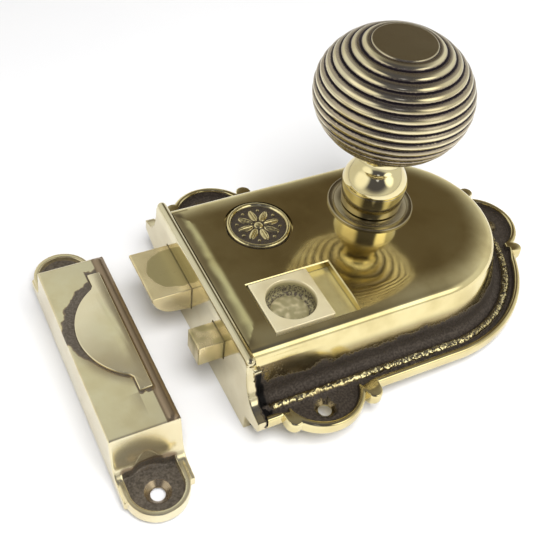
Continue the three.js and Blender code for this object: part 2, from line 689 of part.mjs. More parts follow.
function nightBolt() {
  const bar = block([-NIGHT_PROJECTION, 52], NIGHT_Y, NIGHT_Z);
  const notchZ = [NIGHT_Z[0] - 1, NIGHT_Z[1] + 1];
  const notches = [CLICK_X - NIGHT_TRAVEL, CLICK_X].map((x) => (
    post(x, NIGHT_Y[0] - 0.6, notchZ, NOTCH_RADIUS, NOTCH_RADIUS, SMALL_SIDES)
  ));
  const holeZ = [0, CASE_HEIGHT];
  const rivetHole = post(SLIDE_MIDDLE_X, RIVET_Y, holeZ, RIVET_HOLE_RADIUS, RIVET_HOLE_RADIUS, SMALL_SIDES);
  const sinkZ = [NIGHT_Z[0] - 0.1, NIGHT_Z[0] + 1.2];
  const rivetSink = post(SLIDE_MIDDLE_X, RIVET_Y, sinkZ, 3.35, RIVET_HOLE_RADIUS, SMALL_SIDES);
  return cut(bar, ...notches, rivetHole, rivetSink);
}

/** The square button in the slot, with a round recess for the thumb and a cup that reaches the bolt. */
function thumbSlide() {
  const button = block(SLIDE_X, SLIDE_Y, [CEILING_Z - 0.2, SLIDE_TOP_Z]);
  const x = SLIDE_MIDDLE_X;
  const y = SLIDE_MIDDLE_Y;
  const cup = post(x, y, [NIGHT_Z[1], CEILING_Z], CUP_RADIUS);
  const recess = post(x, y, [SLIDE_FLOOR_Z, SLIDE_TOP_Z + 1], SLIDE_RECESS_RADIUS);
  const rivetHole = post(x, RIVET_Y, [0, CASE_HEIGHT], RIVET_HOLE_RADIUS, RIVET_HOLE_RADIUS, SMALL_SIDES);
  return cut(join(button, cup), recess, rivetHole);
}

/** The plate under the slot that hides the inside of the case wherever the slide stands. */
function slideCoverPlate() {
  const top = CEILING_Z - 0.2;
  const thickness = 1.2;
  const plateX = [SLOT_X[0] - 6.3, SLOT_X[1] + 2.8];
  const plateY = [SLOT_Y[0] - 1.5, SLOT_Y[1] + 1.4];
  const plate = block(plateX, plateY, [top - thickness, top]);
  const cupHole = post(SLIDE_MIDDLE_X, SLIDE_MIDDLE_Y, [top - 3, top + 1], CUP_RADIUS + 0.1);
  return cut(plate, cupHole);
}

/** The rivet that joins the thumb slide to the night bolt, with its low head on the recess floor. */
function slideRivet() {
  const x = SLIDE_MIDDLE_X;
  const y = RIVET_Y;
  const radius = SLIDE_RIVET_RADIUS;
  const foot = NIGHT_Z[0] + 0.1;
  const headHeight = 0.8;
  const shank = post(x, y, [foot, SLIDE_FLOOR_Z + 0.7], radius, radius, SMALL_SIDES);
  const head = post(x, y, [SLIDE_FLOOR_Z, SLIDE_FLOOR_Z + headHeight], 4.6, 4.2);
  const tail = post(x, y, [foot, foot + 1.1], 3.1, radius, SMALL_SIDES);
  return join(shank, head, tail);
}

/** The bent strip that clicks into the night bolt's side notches, seen from above. */
function clickSpring() {
  const thickness = 0.5;
  const line = [
    [CLICK_POST_X + 4, CLICK_STRIP_Y],
    [CLICK_X + 6, CLICK_STRIP_Y],
    [CLICK_X + 2, CLICK_STRIP_Y + 0.7],
    [CLICK_X, CLICK_STRIP_Y + 2.15],
    [CLICK_X - 2, CLICK_STRIP_Y + 0.7],
  ];
  const shape = new THREE.Shape();
  line.forEach(([x, y], index) => (index === 0 ? shape.moveTo(x, y) : shape.lineTo(x, y)));
  [...line].reverse().forEach(([x, y]) => shape.lineTo(x, y + thickness));
  shape.closePath();
  return prism(shape, 7, 13);
}

function clickSpringPost() {
  const standing = [BACK_PLATE_THICKNESS, 13.5];
  const radius = 2.5;
  const y = CLICK_STRIP_Y - radius;
  return join(
    post(CLICK_POST_X, y, standing, radius, radius, 16),
    block([CLICK_POST_X - 2, CLICK_POST_X + 2], [y, CLICK_STRIP_Y], standing),
  );
}

// ---------------------------------------------------------------- keep, drawn about its own middle

/** Side view of the keep: end walls that lean out a little and flare in a hollow curve to a low foot. */
function keepSideOutline() {
  const flareTop = 9;
  const footTop = 3.2;
  const flare = KEEP_HALF_LENGTH + KEEP_WALL_LEAN;
  const shape = new THREE.Shape();
  shape.moveTo(-KEEP_HALF_LENGTH, KEEP_HEIGHT);
  shape.lineTo(-flare, flareTop);
  shape.quadraticCurveTo(-flare - 1, footTop + 0.6, -KEEP_BASE_HALF_LENGTH, footTop);
  shape.lineTo(-KEEP_BASE_HALF_LENGTH, 0);
  shape.lineTo(KEEP_BASE_HALF_LENGTH, 0);
  shape.lineTo(KEEP_BASE_HALF_LENGTH, footTop);
  shape.quadraticCurveTo(flare + 1, footTop + 0.6, flare, flareTop);
  shape.lineTo(KEEP_HALF_LENGTH, KEEP_HEIGHT);
  shape.closePath();
  return shape;
}

/** A round-ended tongue along Y, from the keep's end wall to the middle of its ear. */
function keepTongue(side, radius, wallY, [z0, z1]) {
  const earY = KEEP_EAR_TIP - KEEP_EAR_RADIUS;
  const [near, far] = [side * wallY, side * earY].sort((a, b) => a - b);
  return join(
    block([KEEP_EAR_MIDDLE - radius, KEEP_EAR_MIDDLE + radius], [near, far], [z0, z1]),
    post(KEEP_EAR_MIDDLE, side * earY, [z0, z1], radius),
  );
}

/** The keep: a box open behind and towards the lock, a bead along its mouth and a sunk ear at each end. */
function keepBox() {
  const left = -KEEP_WIDTH / 2;
  const right = KEEP_WIDTH / 2;
  const rimHeight = 4.4;
  const floor = 2.2;
  const rimWidth = 1.8;
  const holeY = KEEP_EAR_TIP - KEEP_EAR_RADIUS + 1;
  const body = prismAlongX(keepSideOutline(), left, right);
  const ears = [-1, 1].map((side) => keepTongue(side, KEEP_EAR_RADIUS, KEEP_HALF_LENGTH - 1, [0, rimHeight]));
  const pockets = [-1, 1].map((side) => (
    keepTongue(side, KEEP_EAR_RADIUS - rimWidth, KEEP_HALF_LENGTH + 2 * KEEP_WALL_LEAN, [floor, KEEP_HEIGHT])
  ));
  const beadRadius = 1.8;
  const beadZ = KEEP_HEIGHT - beadRadius + BEAD_RISE;
  const bead = barAlongY(right - beadRadius, [-KEEP_HALF_LENGTH, KEEP_HALF_LENGTH], beadZ, beadRadius);
  const insideLength = KEEP_HALF_LENGTH - WALL;
  const mouthX = [left + WALL, right + WALL];
  const mouth = block(mouthX, [-insideLength, insideLength], [-1, KEEP_HEIGHT - WALL]);
  const holes = [-1, 1].flatMap((side) => [
    post(KEEP_EAR_MIDDLE, side * holeY, [-1, 6], SCREW_RADIUS),
    post(KEEP_EAR_MIDDLE, side * holeY, [0.3, 3.4], SCREW_RADIUS - 0.2, COUNTERSINK_RADIUS + 1.6),
  ]);
  return cut(join(body, ...ears, bead), ...pockets, mouth, ...holes);
}

/** The half-moon plate on the keep: a round-edged segment between two narrow tabs. */
function keepCrescent() {
  const edge = CRESCENT_EDGE_X;
  const tab = edge - CRESCENT_TAB_WIDTH;
  const step = 1.4;
  const arcStart = Math.asin(CRESCENT_ARC_HALF_CHORD / CRESCENT_ARC_RADIUS);
  const chordX = tab - 0.9;
  const arcCentreX = chordX + CRESCENT_ARC_RADIUS * Math.cos(arcStart);
  const shape = new THREE.Shape();
  shape.moveTo(edge, -CRESCENT_HALF_LENGTH);
  shape.lineTo(edge, CRESCENT_HALF_LENGTH);
  shape.lineTo(tab, CRESCENT_HALF_LENGTH);
  shape.lineTo(tab, CRESCENT_ARC_HALF_CHORD + step);
  shape.lineTo(chordX, CRESCENT_ARC_HALF_CHORD);
  shape.absarc(arcCentreX, 0, CRESCENT_ARC_RADIUS, Math.PI - arcStart, Math.PI + arcStart, false);
  shape.lineTo(tab, -CRESCENT_ARC_HALF_CHORD - step);
  shape.lineTo(tab, -CRESCENT_HALF_LENGTH);
  shape.closePath();
  return prism(shape, KEEP_HEIGHT, KEEP_HEIGHT + CRESCENT_THICKNESS).translate([0, CRESCENT_SHIFT, 0]);
}

// ---------------------------------------------------------------- assembly

const latch = new THREE.Group();

latch.add(
  mesh('case', caseShell(), agedBrass),
  mesh('fore_end_plate', foreEndPlate(), polishedBrass),
  mesh('back_plate', backPlate(), plainBrass),
  mesh('medallion', medallion(), agedBrass),
  mesh('knob_bush', knobBush(), polishedBrass),
  mesh('latch_bolt', latchBolt(), boltBrass),
  mesh('latch_spring', latchSpring(), springSteel),
  mesh('latch_spring_stop', springStop(), plainBrass),
  mesh('latch_bar_staple', latchStaple(), plainBrass),
  mesh('night_bolt', nightBolt(), boltBrass),
  mesh('thumb_slide', thumbSlide(), polishedBrass),
  mesh('slide_cover_plate', slideCoverPlate(), plainBrass),
  mesh('slide_rivet', slideRivet(), plainBrass),
  mesh('click_spring', clickSpring(), springSteel),
  mesh('click_spring_post', clickSpringPost(), plainBrass),
);

for (const place of RIVET_PLACES) {
  latch.add(mesh(`fore_end_rivet_${place.name}`, foreEndRivet(place), polishedBrass));
}

for (const place of BACK_SCREW_PLACES) {
  latch.add(mesh(`back_plate_screw_${place.name}`, backScrew(place), steel));
}

const knobGroup = new THREE.Group();
knobGroup.position.set(KNOB_X, KNOB_Y, 0);
knobGroup.add(
  mesh('knob_ball', knobBall(), polishedBrass),
  mesh('knob_shank', knobShank(), polishedBrass),
  mesh('knob_grub_screw', knobGrubScrew(), steel),
  mesh('spindle', spindle(), steel),
  mesh('follower', follower(), plainBrass),
);
latch.add(knobGroup);

const keepGroup = new THREE.Group();
keepGroup.position.set(KEEP_MIDDLE_X, KEEP_CENTRE_Y, KEEP_BASE_Z);
keepGroup.add(
  mesh('keep_box', keepBox(), polishedBrass),
  mesh('keep_crescent', keepCrescent(), polishedBrass),
);
latch.add(keepGroup);

latch.position.x = -KNOB_X;

export default latch;
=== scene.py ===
"""Looks for the rim night latch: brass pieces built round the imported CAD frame, a pale studio and the camera.

Shapes are worked out in millimetres in lock coordinates: x from the front face of the fore-end towards the
tail, y across from the centre line of the case, z up from the case's back. frame_point turns them into the
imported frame's metres.
"""

import math
from contextlib import contextmanager

import bmesh
import bpy
from mathutils import Matrix, Vector, noise


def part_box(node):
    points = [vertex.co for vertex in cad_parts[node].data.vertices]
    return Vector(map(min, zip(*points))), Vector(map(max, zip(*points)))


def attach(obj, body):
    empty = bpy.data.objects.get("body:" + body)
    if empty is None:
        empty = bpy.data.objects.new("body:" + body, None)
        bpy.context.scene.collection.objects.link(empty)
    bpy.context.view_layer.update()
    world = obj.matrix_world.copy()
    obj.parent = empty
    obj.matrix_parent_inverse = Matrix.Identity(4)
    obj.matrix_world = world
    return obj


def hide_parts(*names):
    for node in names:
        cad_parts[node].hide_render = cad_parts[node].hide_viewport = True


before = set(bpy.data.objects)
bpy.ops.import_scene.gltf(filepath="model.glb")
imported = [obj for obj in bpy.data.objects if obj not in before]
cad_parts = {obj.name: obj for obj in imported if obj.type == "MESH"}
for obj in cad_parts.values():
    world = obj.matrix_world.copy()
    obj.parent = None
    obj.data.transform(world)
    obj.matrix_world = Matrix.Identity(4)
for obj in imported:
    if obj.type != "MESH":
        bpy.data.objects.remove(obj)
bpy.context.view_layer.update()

MM = 0.001

# ---------------------------------------------------------------- sizes read from the frame

FRONT_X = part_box("fore_end_plate")[0].x


def span(node):
    """The limits of a CAD node in lock coordinates: ((x0, x1), (y0, y1), (z0, z1))."""
    low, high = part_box(node)
    return (
        ((low.x - FRONT_X) / MM, (high.x - FRONT_X) / MM),
        (low.y / MM, high.y / MM),
        (low.z / MM, high.z / MM),
    )


def middle(limits):
    return (limits[0] + limits[1]) / 2


BACK_PLATE_MARGIN = 1.6
CASE_HALF_WIDTH = span("back_plate")[1][1] + BACK_PLATE_MARGIN
TAIL_X = span("back_plate")[0][1] + BACK_PLATE_MARGIN - CASE_HALF_WIDTH
CASE_FRONT_X = span("case")[0][0]
CASE_TOP = span("case")[2][1]
EAR_REACH = span("case")[1][1]
WALL = 3.0

PLATE_X, PLATE_Y, PLATE_Z = span("fore_end_plate")
LATCH_X, LATCH_Y, LATCH_Z = span("latch_bolt")
NIGHT_X, NIGHT_Y, NIGHT_Z = span("night_bolt")
SLIDE_X, SLIDE_Y, SLIDE_Z = span("thumb_slide")
KEEP_X, KEEP_Y, KEEP_Z = span("keep_box")
CRESCENT_X, CRESCENT_Y, CRESCENT_Z = span("keep_crescent")
MEDALLION_X = middle(span("medallion")[0])
MEDALLION_Y = middle(span("medallion")[1])
KNOB_X = middle(span("spindle")[0])
KNOB_Y = middle(span("spindle")[1])

FLANGE_MARGIN = 13.0
RIM_TOP = 4.6
RIM_WIDTH = 2.3
FIELD_Z = 2.6
EAR_RADIUS = 15.5
SIDE_EAR_X = 24.8
TAIL_EAR_Y = 2.0
SCREW_RADIUS = 2.3
COUNTERSINK_RADIUS = 4.67
SLOT_X = (13.5, 44.4)
SLOT_Y = (-31.4, -8.4)
BUSH_BORE = 9.3
BUSH_SLEEVE = 11.9
SLIDE_RECESS_RADIUS = 8.5
SLIDE_RECESS_DEPTH = 6.0
BOLT_SECTIONS = ((LATCH_Y, LATCH_Z), (NIGHT_Y, NIGHT_Z))


def frame_point(x, y, z):
    """A point in lock coordinates as the frame's metres."""
    return Vector((FRONT_X + x * MM, y * MM, z * MM))


def lock_point(co):
    """A point in the frame's metres as lock coordinates."""
    return ((co.x - FRONT_X) / MM, co.y / MM, co.z / MM)


def smoothstep(low, high, value):
    t = min(1.0, max(0.0, (value - low) / (high - low)))
    return t * t * (3 - 2 * t)


def rough(x, y, z, grain):
    """Smooth noise between about -1 and 1 with features about as wide as grain, in millimetres."""
    return noise.noise(Vector((x / grain, y / grain, z / grain)))


# ---------------------------------------------------------------- mesh helpers


def new_object(name, points, faces):
    """A mesh object from points in lock coordinates."""
    mesh = bpy.data.meshes.new(name)
    mesh.from_pydata([frame_point(*point) for point in points], [], faces)
    mesh.validate()
    obj = bpy.data.objects.new(name, mesh)
    bpy.context.scene.collection.objects.link(obj)
    return obj


def bake(obj):
    """Applies the object's modifiers to its mesh."""
    graph = bpy.context.evaluated_depsgraph_get()
    graph.update()
    mesh = bpy.data.meshes.new_from_object(obj.evaluated_get(graph))
    mesh.name = obj.name
    obj.modifiers.clear()
    obj.data = mesh
    return obj


def combine(obj, tools, operation):
    """Joins tools to obj or cuts them out of it, and removes the tools."""
    for tool in tools:
        step = obj.modifiers.new("combine", "BOOLEAN")
        step.operation = operation
        step.solver = "MANIFOLD"
        step.object = tool
    bake(obj)
    for tool in tools:
        bpy.data.objects.remove(tool)
    return obj


def cut(obj, *tools):
    return combine(obj, tools, "DIFFERENCE")


def join(obj, *tools):
    return combine(obj, tools, "UNION")


def soften(obj, voxel, rounds):
    """Rebuilds the surface from small cells and relaxes it, as casting and buffing round off edges."""
    remesh = obj.modifiers.new("remesh", "REMESH")
    remesh.mode = "VOXEL"
    remesh.voxel_size = voxel * MM
    relax = obj.modifiers.new("relax", "SMOOTH")
    relax.factor = 0.5
    relax.iterations = rounds
    return bake(obj)


def round_edges(obj, width, segments=3):
    bevel = obj.modifiers.new("round", "BEVEL")
    bevel.width = width * MM
    bevel.segments = segments
    bevel.limit_method = "ANGLE"
    bevel.angle_limit = math.radians(38)
    return bake(obj)


def shade(obj, sharp_degrees):
    obj.data.shade_smooth()
    obj.data.set_sharp_from_angle(angle=math.radians(sharp_degrees))


def prism(points, low, high, along="z"):
    """A closed outline pushed along an axis. The outline's two numbers are the other two axes in order."""
    order = {"x": (2, 0, 1), "y": (0, 2, 1), "z": (0, 1, 2)}[along]
    count = len(points)
    corners = [(*point, low) for point in points] + [(*point, high) for point in points]
    corners = [tuple(corner[index] for index in order) for corner in corners]
    faces = [tuple(range(count)), tuple(range(2 * count - 1, count - 1, -1))]
    faces += [(i, i + count, (i + 1) % count + count, (i + 1) % count) for i in range(count)]
    return outward(new_object("prism", corners, faces))


@contextmanager
def editing(obj):
    """Opens an object's mesh for editing and stores it again afterwards."""
    work = bmesh.new()
    work.from_mesh(obj.data)
    yield work
    work.to_mesh(obj.data)
    work.free()


def outward(obj):
    """Turns the faces of a closed mesh to point out."""
    with editing(obj) as work:
        bmesh.ops.recalc_face_normals(work, faces=work.faces)
        if work.calc_volume(signed=True) < 0:
            bmesh.ops.reverse_faces(work, faces=work.faces)
    return obj


def block(x, y, z):
    return prism([(x[0], y[0]), (x[1], y[0]), (x[1], y[1]), (x[0], y[1])], *z)


def circle(x, y, z, radius, sides):
    """Points round a level circle."""
    angles = [2 * math.pi * side / sides for side in range(sides)]
    return [(x + radius * math.cos(a), y + radius * math.sin(a), z) for a in angles]


def turned(profile, x, y, sides=128):
    """A solid of revolution about a vertical axis, from (radius, z) pairs that start and end on it."""
    points, rings = [], []
    for radius, z in profile:
        if radius < 1e-6:
            rings.append([len(points)])
            points.append((x, y, z))
            continue
        rings.append(list(range(len(points), len(points) + sides)))
        points += circle(x, y, z, radius, sides)
    faces = []
    for lower, upper in zip(rings, rings[1:]):
        for side in range(sides):
            a, b = side, (side + 1) % sides
            if len(lower) == 1 and len(upper) > 1:
                faces.append((lower[0], upper[b], upper[a]))
            elif len(upper) == 1 and len(lower) > 1:
                faces.append((lower[a], lower[b], upper[0]))
            elif len(lower) > 1:
                faces.append((lower[a], lower[b], upper[b], upper[a]))
    return outward(new_object("turned", points, faces))


def post(x, y, z, bottom_radius, top_radius=None, sides=64):
    top_radius = bottom_radius if top_radius is None else top_radius
    return turned([(0, z[0]), (bottom_radius, z[0]), (top_radius, z[1]), (0, z[1])], x, y, sides)


def arc(centre, radius, start, end, steps):
    """Points on an arc, with angles in degrees."""
    angles = [math.radians(start + (end - start) * i / steps) for i in range(steps + 1)]
    return [(centre[0] + radius * math.cos(a), centre[1] + radius * math.sin(a)) for a in angles]


def bend(start, control, end, steps):
    """Points on a quadratic curve."""
    result = []
    for i in range(steps + 1):
        t = i / steps
        near, mid, far = (1 - t) ** 2, 2 * t * (1 - t), t * t
        result.append(tuple(near * s + mid * c + far * e for s, c, e in zip(start, control, end)))
    return result


def weigh_normals(obj):
    """Lets large flat faces keep their own direction beside small rounded ones."""
    weighted = obj.modifiers.new("weighted", "WEIGHTED_NORMAL")
    weighted.keep_sharp = True
    bake(obj)


def paint(obj, rule):
    """Stores rule(x, y, z), the share of tarnish and of painted shade at each point, as a point attribute that
    the brass reads.
    """
    layer = obj.data.attributes.new("patina_and_shade", "FLOAT", "POINT")
    layer.data.foreach_set("value", [rule(*lock_point(vertex.co)) for vertex in obj.data.vertices])


def finish_piece(obj, name, body, material, node, patina_and_shade, sharp_degrees=40, flat_faces=False):
    """Paints and shades a piece, gives it its metal and its body, and hides the CAD node it stands for."""
    paint(obj, patina_and_shade)
    shade(obj, sharp_degrees)
    if flat_faces:
        weigh_normals(obj)
    obj.name = name
    obj.data.name = name
    obj.data.materials.clear()
    obj.data.materials.append(material)
    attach(obj, body)
    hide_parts(node)


# ---------------------------------------------------------------- materials


class Graph:
    """A short way to write a node tree."""

    def __init__(self, tree):
        self.tree = tree
        tree.nodes.clear()

    def node(self, kind, settings=None, **inputs):
        made = self.tree.nodes.new(kind)
        for key, value in (settings or {}).items():
            setattr(made, key, value)
        for key, value in inputs.items():
            self.feed(made, key.replace("_", " "), value)
        return made

    def feed(self, node, key, value):
        socket = node.inputs[int(key)] if key.isdigit() else node.inputs[key]
        if isinstance(value, bpy.types.NodeSocket):
            self.tree.links.new(value, socket)
        else:
            socket.default_value = value

    def math(self, operation, a, b=0.0, clamp=False):
        made = self.tree.nodes.new("ShaderNodeMath")
        made.operation = operation
        made.use_clamp = clamp
        self.feed(made, "0", a)
        self.feed(made, "1", b)
        return made.outputs[0]

    def times(self, a, b):
        return self.math("MULTIPLY", a, b)

    def plus(self, a, b):
        return self.math("ADD", a, b)

    def ramp(self, value, low, high):
        """0 below low, 1 above high, smooth between."""
        made = self.node("ShaderNodeMapRange", {"interpolation_type": "SMOOTHSTEP"})
        self.feed(made, "Value", value)
        self.feed(made, "From Min", low)
        self.feed(made, "From Max", high)
        return made.outputs["Result"]

    def mix(self, share, a, b):
        made = self.tree.nodes.new("ShaderNodeMix")
        made.data_type = "RGBA"
        self.feed(made, "Factor", share)
        for socket, value in zip([s for s in made.inputs if s.type == "RGBA"], (a, b)):
            if isinstance(value, bpy.types.NodeSocket):
                self.tree.links.new(value, socket)
            else:
                socket.default_value = value
        return next(s for s in made.outputs if s.type == "RGBA")

    def noise(self, vector, feature_mm, detail=3.0):
        made = self.node("ShaderNodeTexNoise", Vector=vector, Scale=1 / (feature_mm * MM), Detail=detail)
        return made.outputs["Fac"]

    def show(self, shader, output_kind):
        output = self.node(output_kind)
        self.tree.links.new(shader.outputs[0], output.inputs["Surface"])

    def bump(self, height, strength, depth_mm, below=None):
        made = self.node("ShaderNodeBump", Height=height, Strength=strength, Distance=depth_mm * MM)
        if below is not None:
            self.feed(made, "Normal", below)
        return made.outputs["Normal"]


def new_material(name):
    material = bpy.data.materials.new(name)
    material.use_nodes = True
    return material, Graph(material.node_tree)


def brass(name, tint, tarnish, film=(0.17, 0.125, 0.065, 1), gloss=0.13, tarnish_gloss=0.5,
          cloud=0.25, pits=0.5, wobble=0.35, metal=1.0):
    """Buffed brass, aged and shaded by the painted attribute, which holds tarnish and also painted shade.

    Up to 0.5 the attribute lays a clear brown film on the metal, towards 1 a rough dark crust and above that
    near-black soot; where the attribute paints shade, these same film, crust and near-black levels stand for
    it.
    Below 0 the metal is bare on the high grains only, as on a cast ridge that has been rubbed.
    cloud is how much thin tarnish drifts over polished areas, pits the depth of the cast grain in the
    tarnish and wobble the slow unevenness that hand buffing leaves."""
    material, g = new_material(name)
    place = g.node("ShaderNodeTexCoord").outputs["Object"]
    patina_and_shade = g.node("ShaderNodeAttribute", {"attribute_name": "patina_and_shade"}).outputs["Fac"]
    drift = g.noise(place, 17, 4.0)
    grain = g.noise(place, 0.7, 5.0)
    scratches = g.noise(g.node("ShaderNodeMapping", Vector=place, Scale=(1, 0.08, 1)).outputs[0], 0.25, 2.0)
    edge = g.times(g.math("SUBTRACT", grain, 0.5), 0.9)
    bare = g.ramp(g.times(patina_and_shade, -1.0), 0.05, 0.3)
    rubbed = g.times(bare, g.ramp(grain, 0.50, 0.44))
    heavy = g.math("MAXIMUM", g.ramp(g.plus(patina_and_shade, edge), 0.62, 0.86), rubbed)
    veil = g.times(g.ramp(patina_and_shade, 0.0, 0.5), 0.9)
    light = g.times(g.ramp(drift, 0.42, 0.75), cloud)
    warm = g.mix(g.ramp(drift, 0.3, 0.7), tint, [c * s for c, s in zip(tint, (0.95, 0.90, 0.80, 1))])
    thin = g.mix(veil, g.mix(light, warm, tarnish), film)
    pale_grain = [min(1, c * 2.2) for c in tarnish[:3]] + [1]
    dark = g.mix(g.ramp(grain, 0.3, 0.75), tarnish, pale_grain)
    # Near black: soot, and painted shade in gaps, openings and corners.
    soot_and_shade = g.ramp(g.plus(patina_and_shade, edge), 1.2, 1.7)
    colour = g.mix(soot_and_shade, g.mix(heavy, thin, dark), (0.008, 0.007, 0.006, 1))
    shine = g.plus(gloss, g.times(g.math("SUBTRACT", scratches, 0.5), 0.07))
    shine = g.plus(shine, g.times(g.plus(light, veil), 0.14))
    spread = g.times(heavy, tarnish_gloss - gloss)
    shine = g.math("ADD", shine, spread, clamp=True)
    metallic = g.times(g.math("SUBTRACT", 1.0, g.times(heavy, 0.35)), metal)
    slow = g.bump(g.noise(place, 14, 1.0), wobble, 0.25)
    brushed = g.bump(scratches, 0.06, 0.05, slow)
    cast = g.bump(g.times(grain, heavy), pits, 0.35, brushed)
    shader = g.node("ShaderNodeBsdfPrincipled", Normal=cast, Roughness=shine, Metallic=metallic)
    g.feed(shader, "Base Color", colour)
    g.show(shader, "ShaderNodeOutputMaterial")
    return material


def steel(name, tint, gloss):
    material, g = new_material(name)
    place = g.node("ShaderNodeTexCoord").outputs["Object"]
    drift = g.noise(place, 2.5, 4.0)
    fine = g.noise(g.node("ShaderNodeMapping", Vector=place, Scale=(1, 1, 0.1)).outputs[0], 0.2, 2.0)
    colour = g.mix(g.ramp(drift, 0.35, 0.8), tint, [c * 0.55 for c in tint[:3]] + [1])
    shine = g.plus(gloss, g.times(fine, 0.2))
    brushed = g.bump(fine, 0.15, 0.05)
    shader = g.node("ShaderNodeBsdfPrincipled", Metallic=1.0, Roughness=shine, Normal=brushed)
    g.feed(shader, "Base Color", colour)
    g.show(shader, "ShaderNodeOutputMaterial")
    return material


PALE = (0.76, 0.70, 0.48, 1)
YELLOW = (0.76, 0.68, 0.40, 1)
BROWN = (0.050, 0.040, 0.031, 1)
UMBER = (0.095, 0.080, 0.062, 1)
INK = (0.020, 0.015, 0.018, 1)

case_brass = brass(
    "case_brass", (0.78, 0.69, 0.38, 1), BROWN, gloss=0.09, tarnish_gloss=0.4, cloud=0.22, wobble=0.5
)
polished_brass = brass("polished_brass", PALE, BROWN, gloss=0.14, cloud=0.15)
satin_brass = brass(
    "satin_brass", (0.88, 0.80, 0.54, 1), BROWN, film=(0.38, 0.34, 0.18, 1), gloss=0.33, wobble=0.1, metal=0.6
)
knob_brass = brass(
    "knob_brass", (0.78, 0.71, 0.47, 1), INK, film=(0.32, 0.265, 0.195, 1),
    gloss=0.14, tarnish_gloss=0.3, pits=0.2
)
shank_brass = brass("shank_brass", YELLOW, BROWN, gloss=0.04, cloud=0.05, wobble=0.1)
bolt_brass = brass(
    "bolt_brass", (0.86, 0.75, 0.46, 1), BROWN, film=(0.42, 0.36, 0.17, 1),
    gloss=0.24, tarnish_gloss=0.3, pits=0.15, metal=0.8
)
keep_brass = brass(
    "keep_brass", (0.80, 0.73, 0.50, 1), UMBER, film=(0.25, 0.175, 0.11, 1),
    gloss=0.16, tarnish_gloss=0.4, cloud=0.08, metal=0.88
)
hidden_brass = brass("hidden_brass", (0.86, 0.79, 0.43, 1), BROWN, gloss=0.30, cloud=0.2, metal=0.8)
plain_steel = steel("plain_steel", (0.50, 0.50, 0.49, 1), 0.3)
spring_steel = steel("spring_steel", (0.30, 0.32, 0.36, 1), 0.25)

# ---------------------------------------------------------------- case and flange


def outline_stations():
    """Places round the case wall, near front corner to far one: base point and outward normal."""
    straight_steps = 210
    round_steps = 320
    length = TAIL_X - CASE_FRONT_X
    near = [
        (CASE_FRONT_X + length * i / straight_steps, -CASE_HALF_WIDTH, 0.0, -1.0)
        for i in range(straight_steps)
    ]
    tail = []
    for i in range(round_steps + 1):
        angle = -math.pi / 2 + math.pi * i / round_steps
        nx, ny = math.cos(angle), math.sin(angle)
        tail.append((TAIL_X + CASE_HALF_WIDTH * nx, CASE_HALF_WIDTH * ny, nx, ny))
    far = [(x, -y, nx, -ny) for x, y, nx, ny in reversed(near)]
    return near + tail + far


def ear_circles():
    """The circles that shape the rim: the lobe of each ear and the small beads beside it."""
    side_y = EAR_REACH - EAR_RADIUS
    half = CASE_HALF_WIDTH + FLANGE_MARGIN
    lobes = [(SIDE_EAR_X, side * side_y, EAR_RADIUS) for side in (-1, 1)]
    beads = [(SIDE_EAR_X + dx, side * (half + 2.2), 2.8) for dx in (-12.7, 16.4) for side in (-1, 1)]
    tail_x = span("case")[0][1] - EAR_RADIUS
    lobes.append((tail_x, TAIL_EAR_Y, EAR_RADIUS))
    for degrees, stand, radius in ((-15.5, 1.8, 2.2), (22, 3.2, 2.6)):
        angle = math.radians(degrees)
        beads.append((TAIL_X + (half + stand) * math.cos(angle), (half + stand) * math.sin(angle), radius))
    return lobes, beads


EAR_LOBES, EAR_BEADS = ear_circles()


def reach(base, circles, shrink, least, blend=0.0):
    """How far a rim made of circles stands from the wall at a station, and never less than least.

    Circles that stand out less than blend beyond the straight rim run into it in a soft curve."""
    x, y, nx, ny = base
    best = least
    for cx, cy, radius in circles:
        along = (cx - x) * nx + (cy - y) * ny
        across = (cx - x) * ny - (cy - y) * nx
        inside = (radius - shrink) ** 2 - across ** 2
        if inside > 0 and along > 0:
            best = max(best, along + math.sqrt(inside))
        elif blend and along > 0:
            best = max(best, least + blend * smoothstep(6.0, 0.0, abs(across) - radius + shrink))
    if blend:
        extra = best - least
        best = least + max(extra, 0.5 * blend * smoothstep(0, blend, extra))
    return best


def rim_outside(base):
    return reach(base, EAR_LOBES + EAR_BEADS, 0.0, FLANGE_MARGIN)


def rim_inside(base):
    return reach(base, EAR_LOBES, RIM_WIDTH, FLANGE_MARGIN - RIM_WIDTH, blend=1.2)


RIDGE_MIDDLE = 7.6
RIDGE_HALF_WIDTH = 1.9
RIDGE_HEIGHT = 1.7
TOP_DROOP = 0.85
DROOP_WIDTH = 9.0
EDGE = 3.5


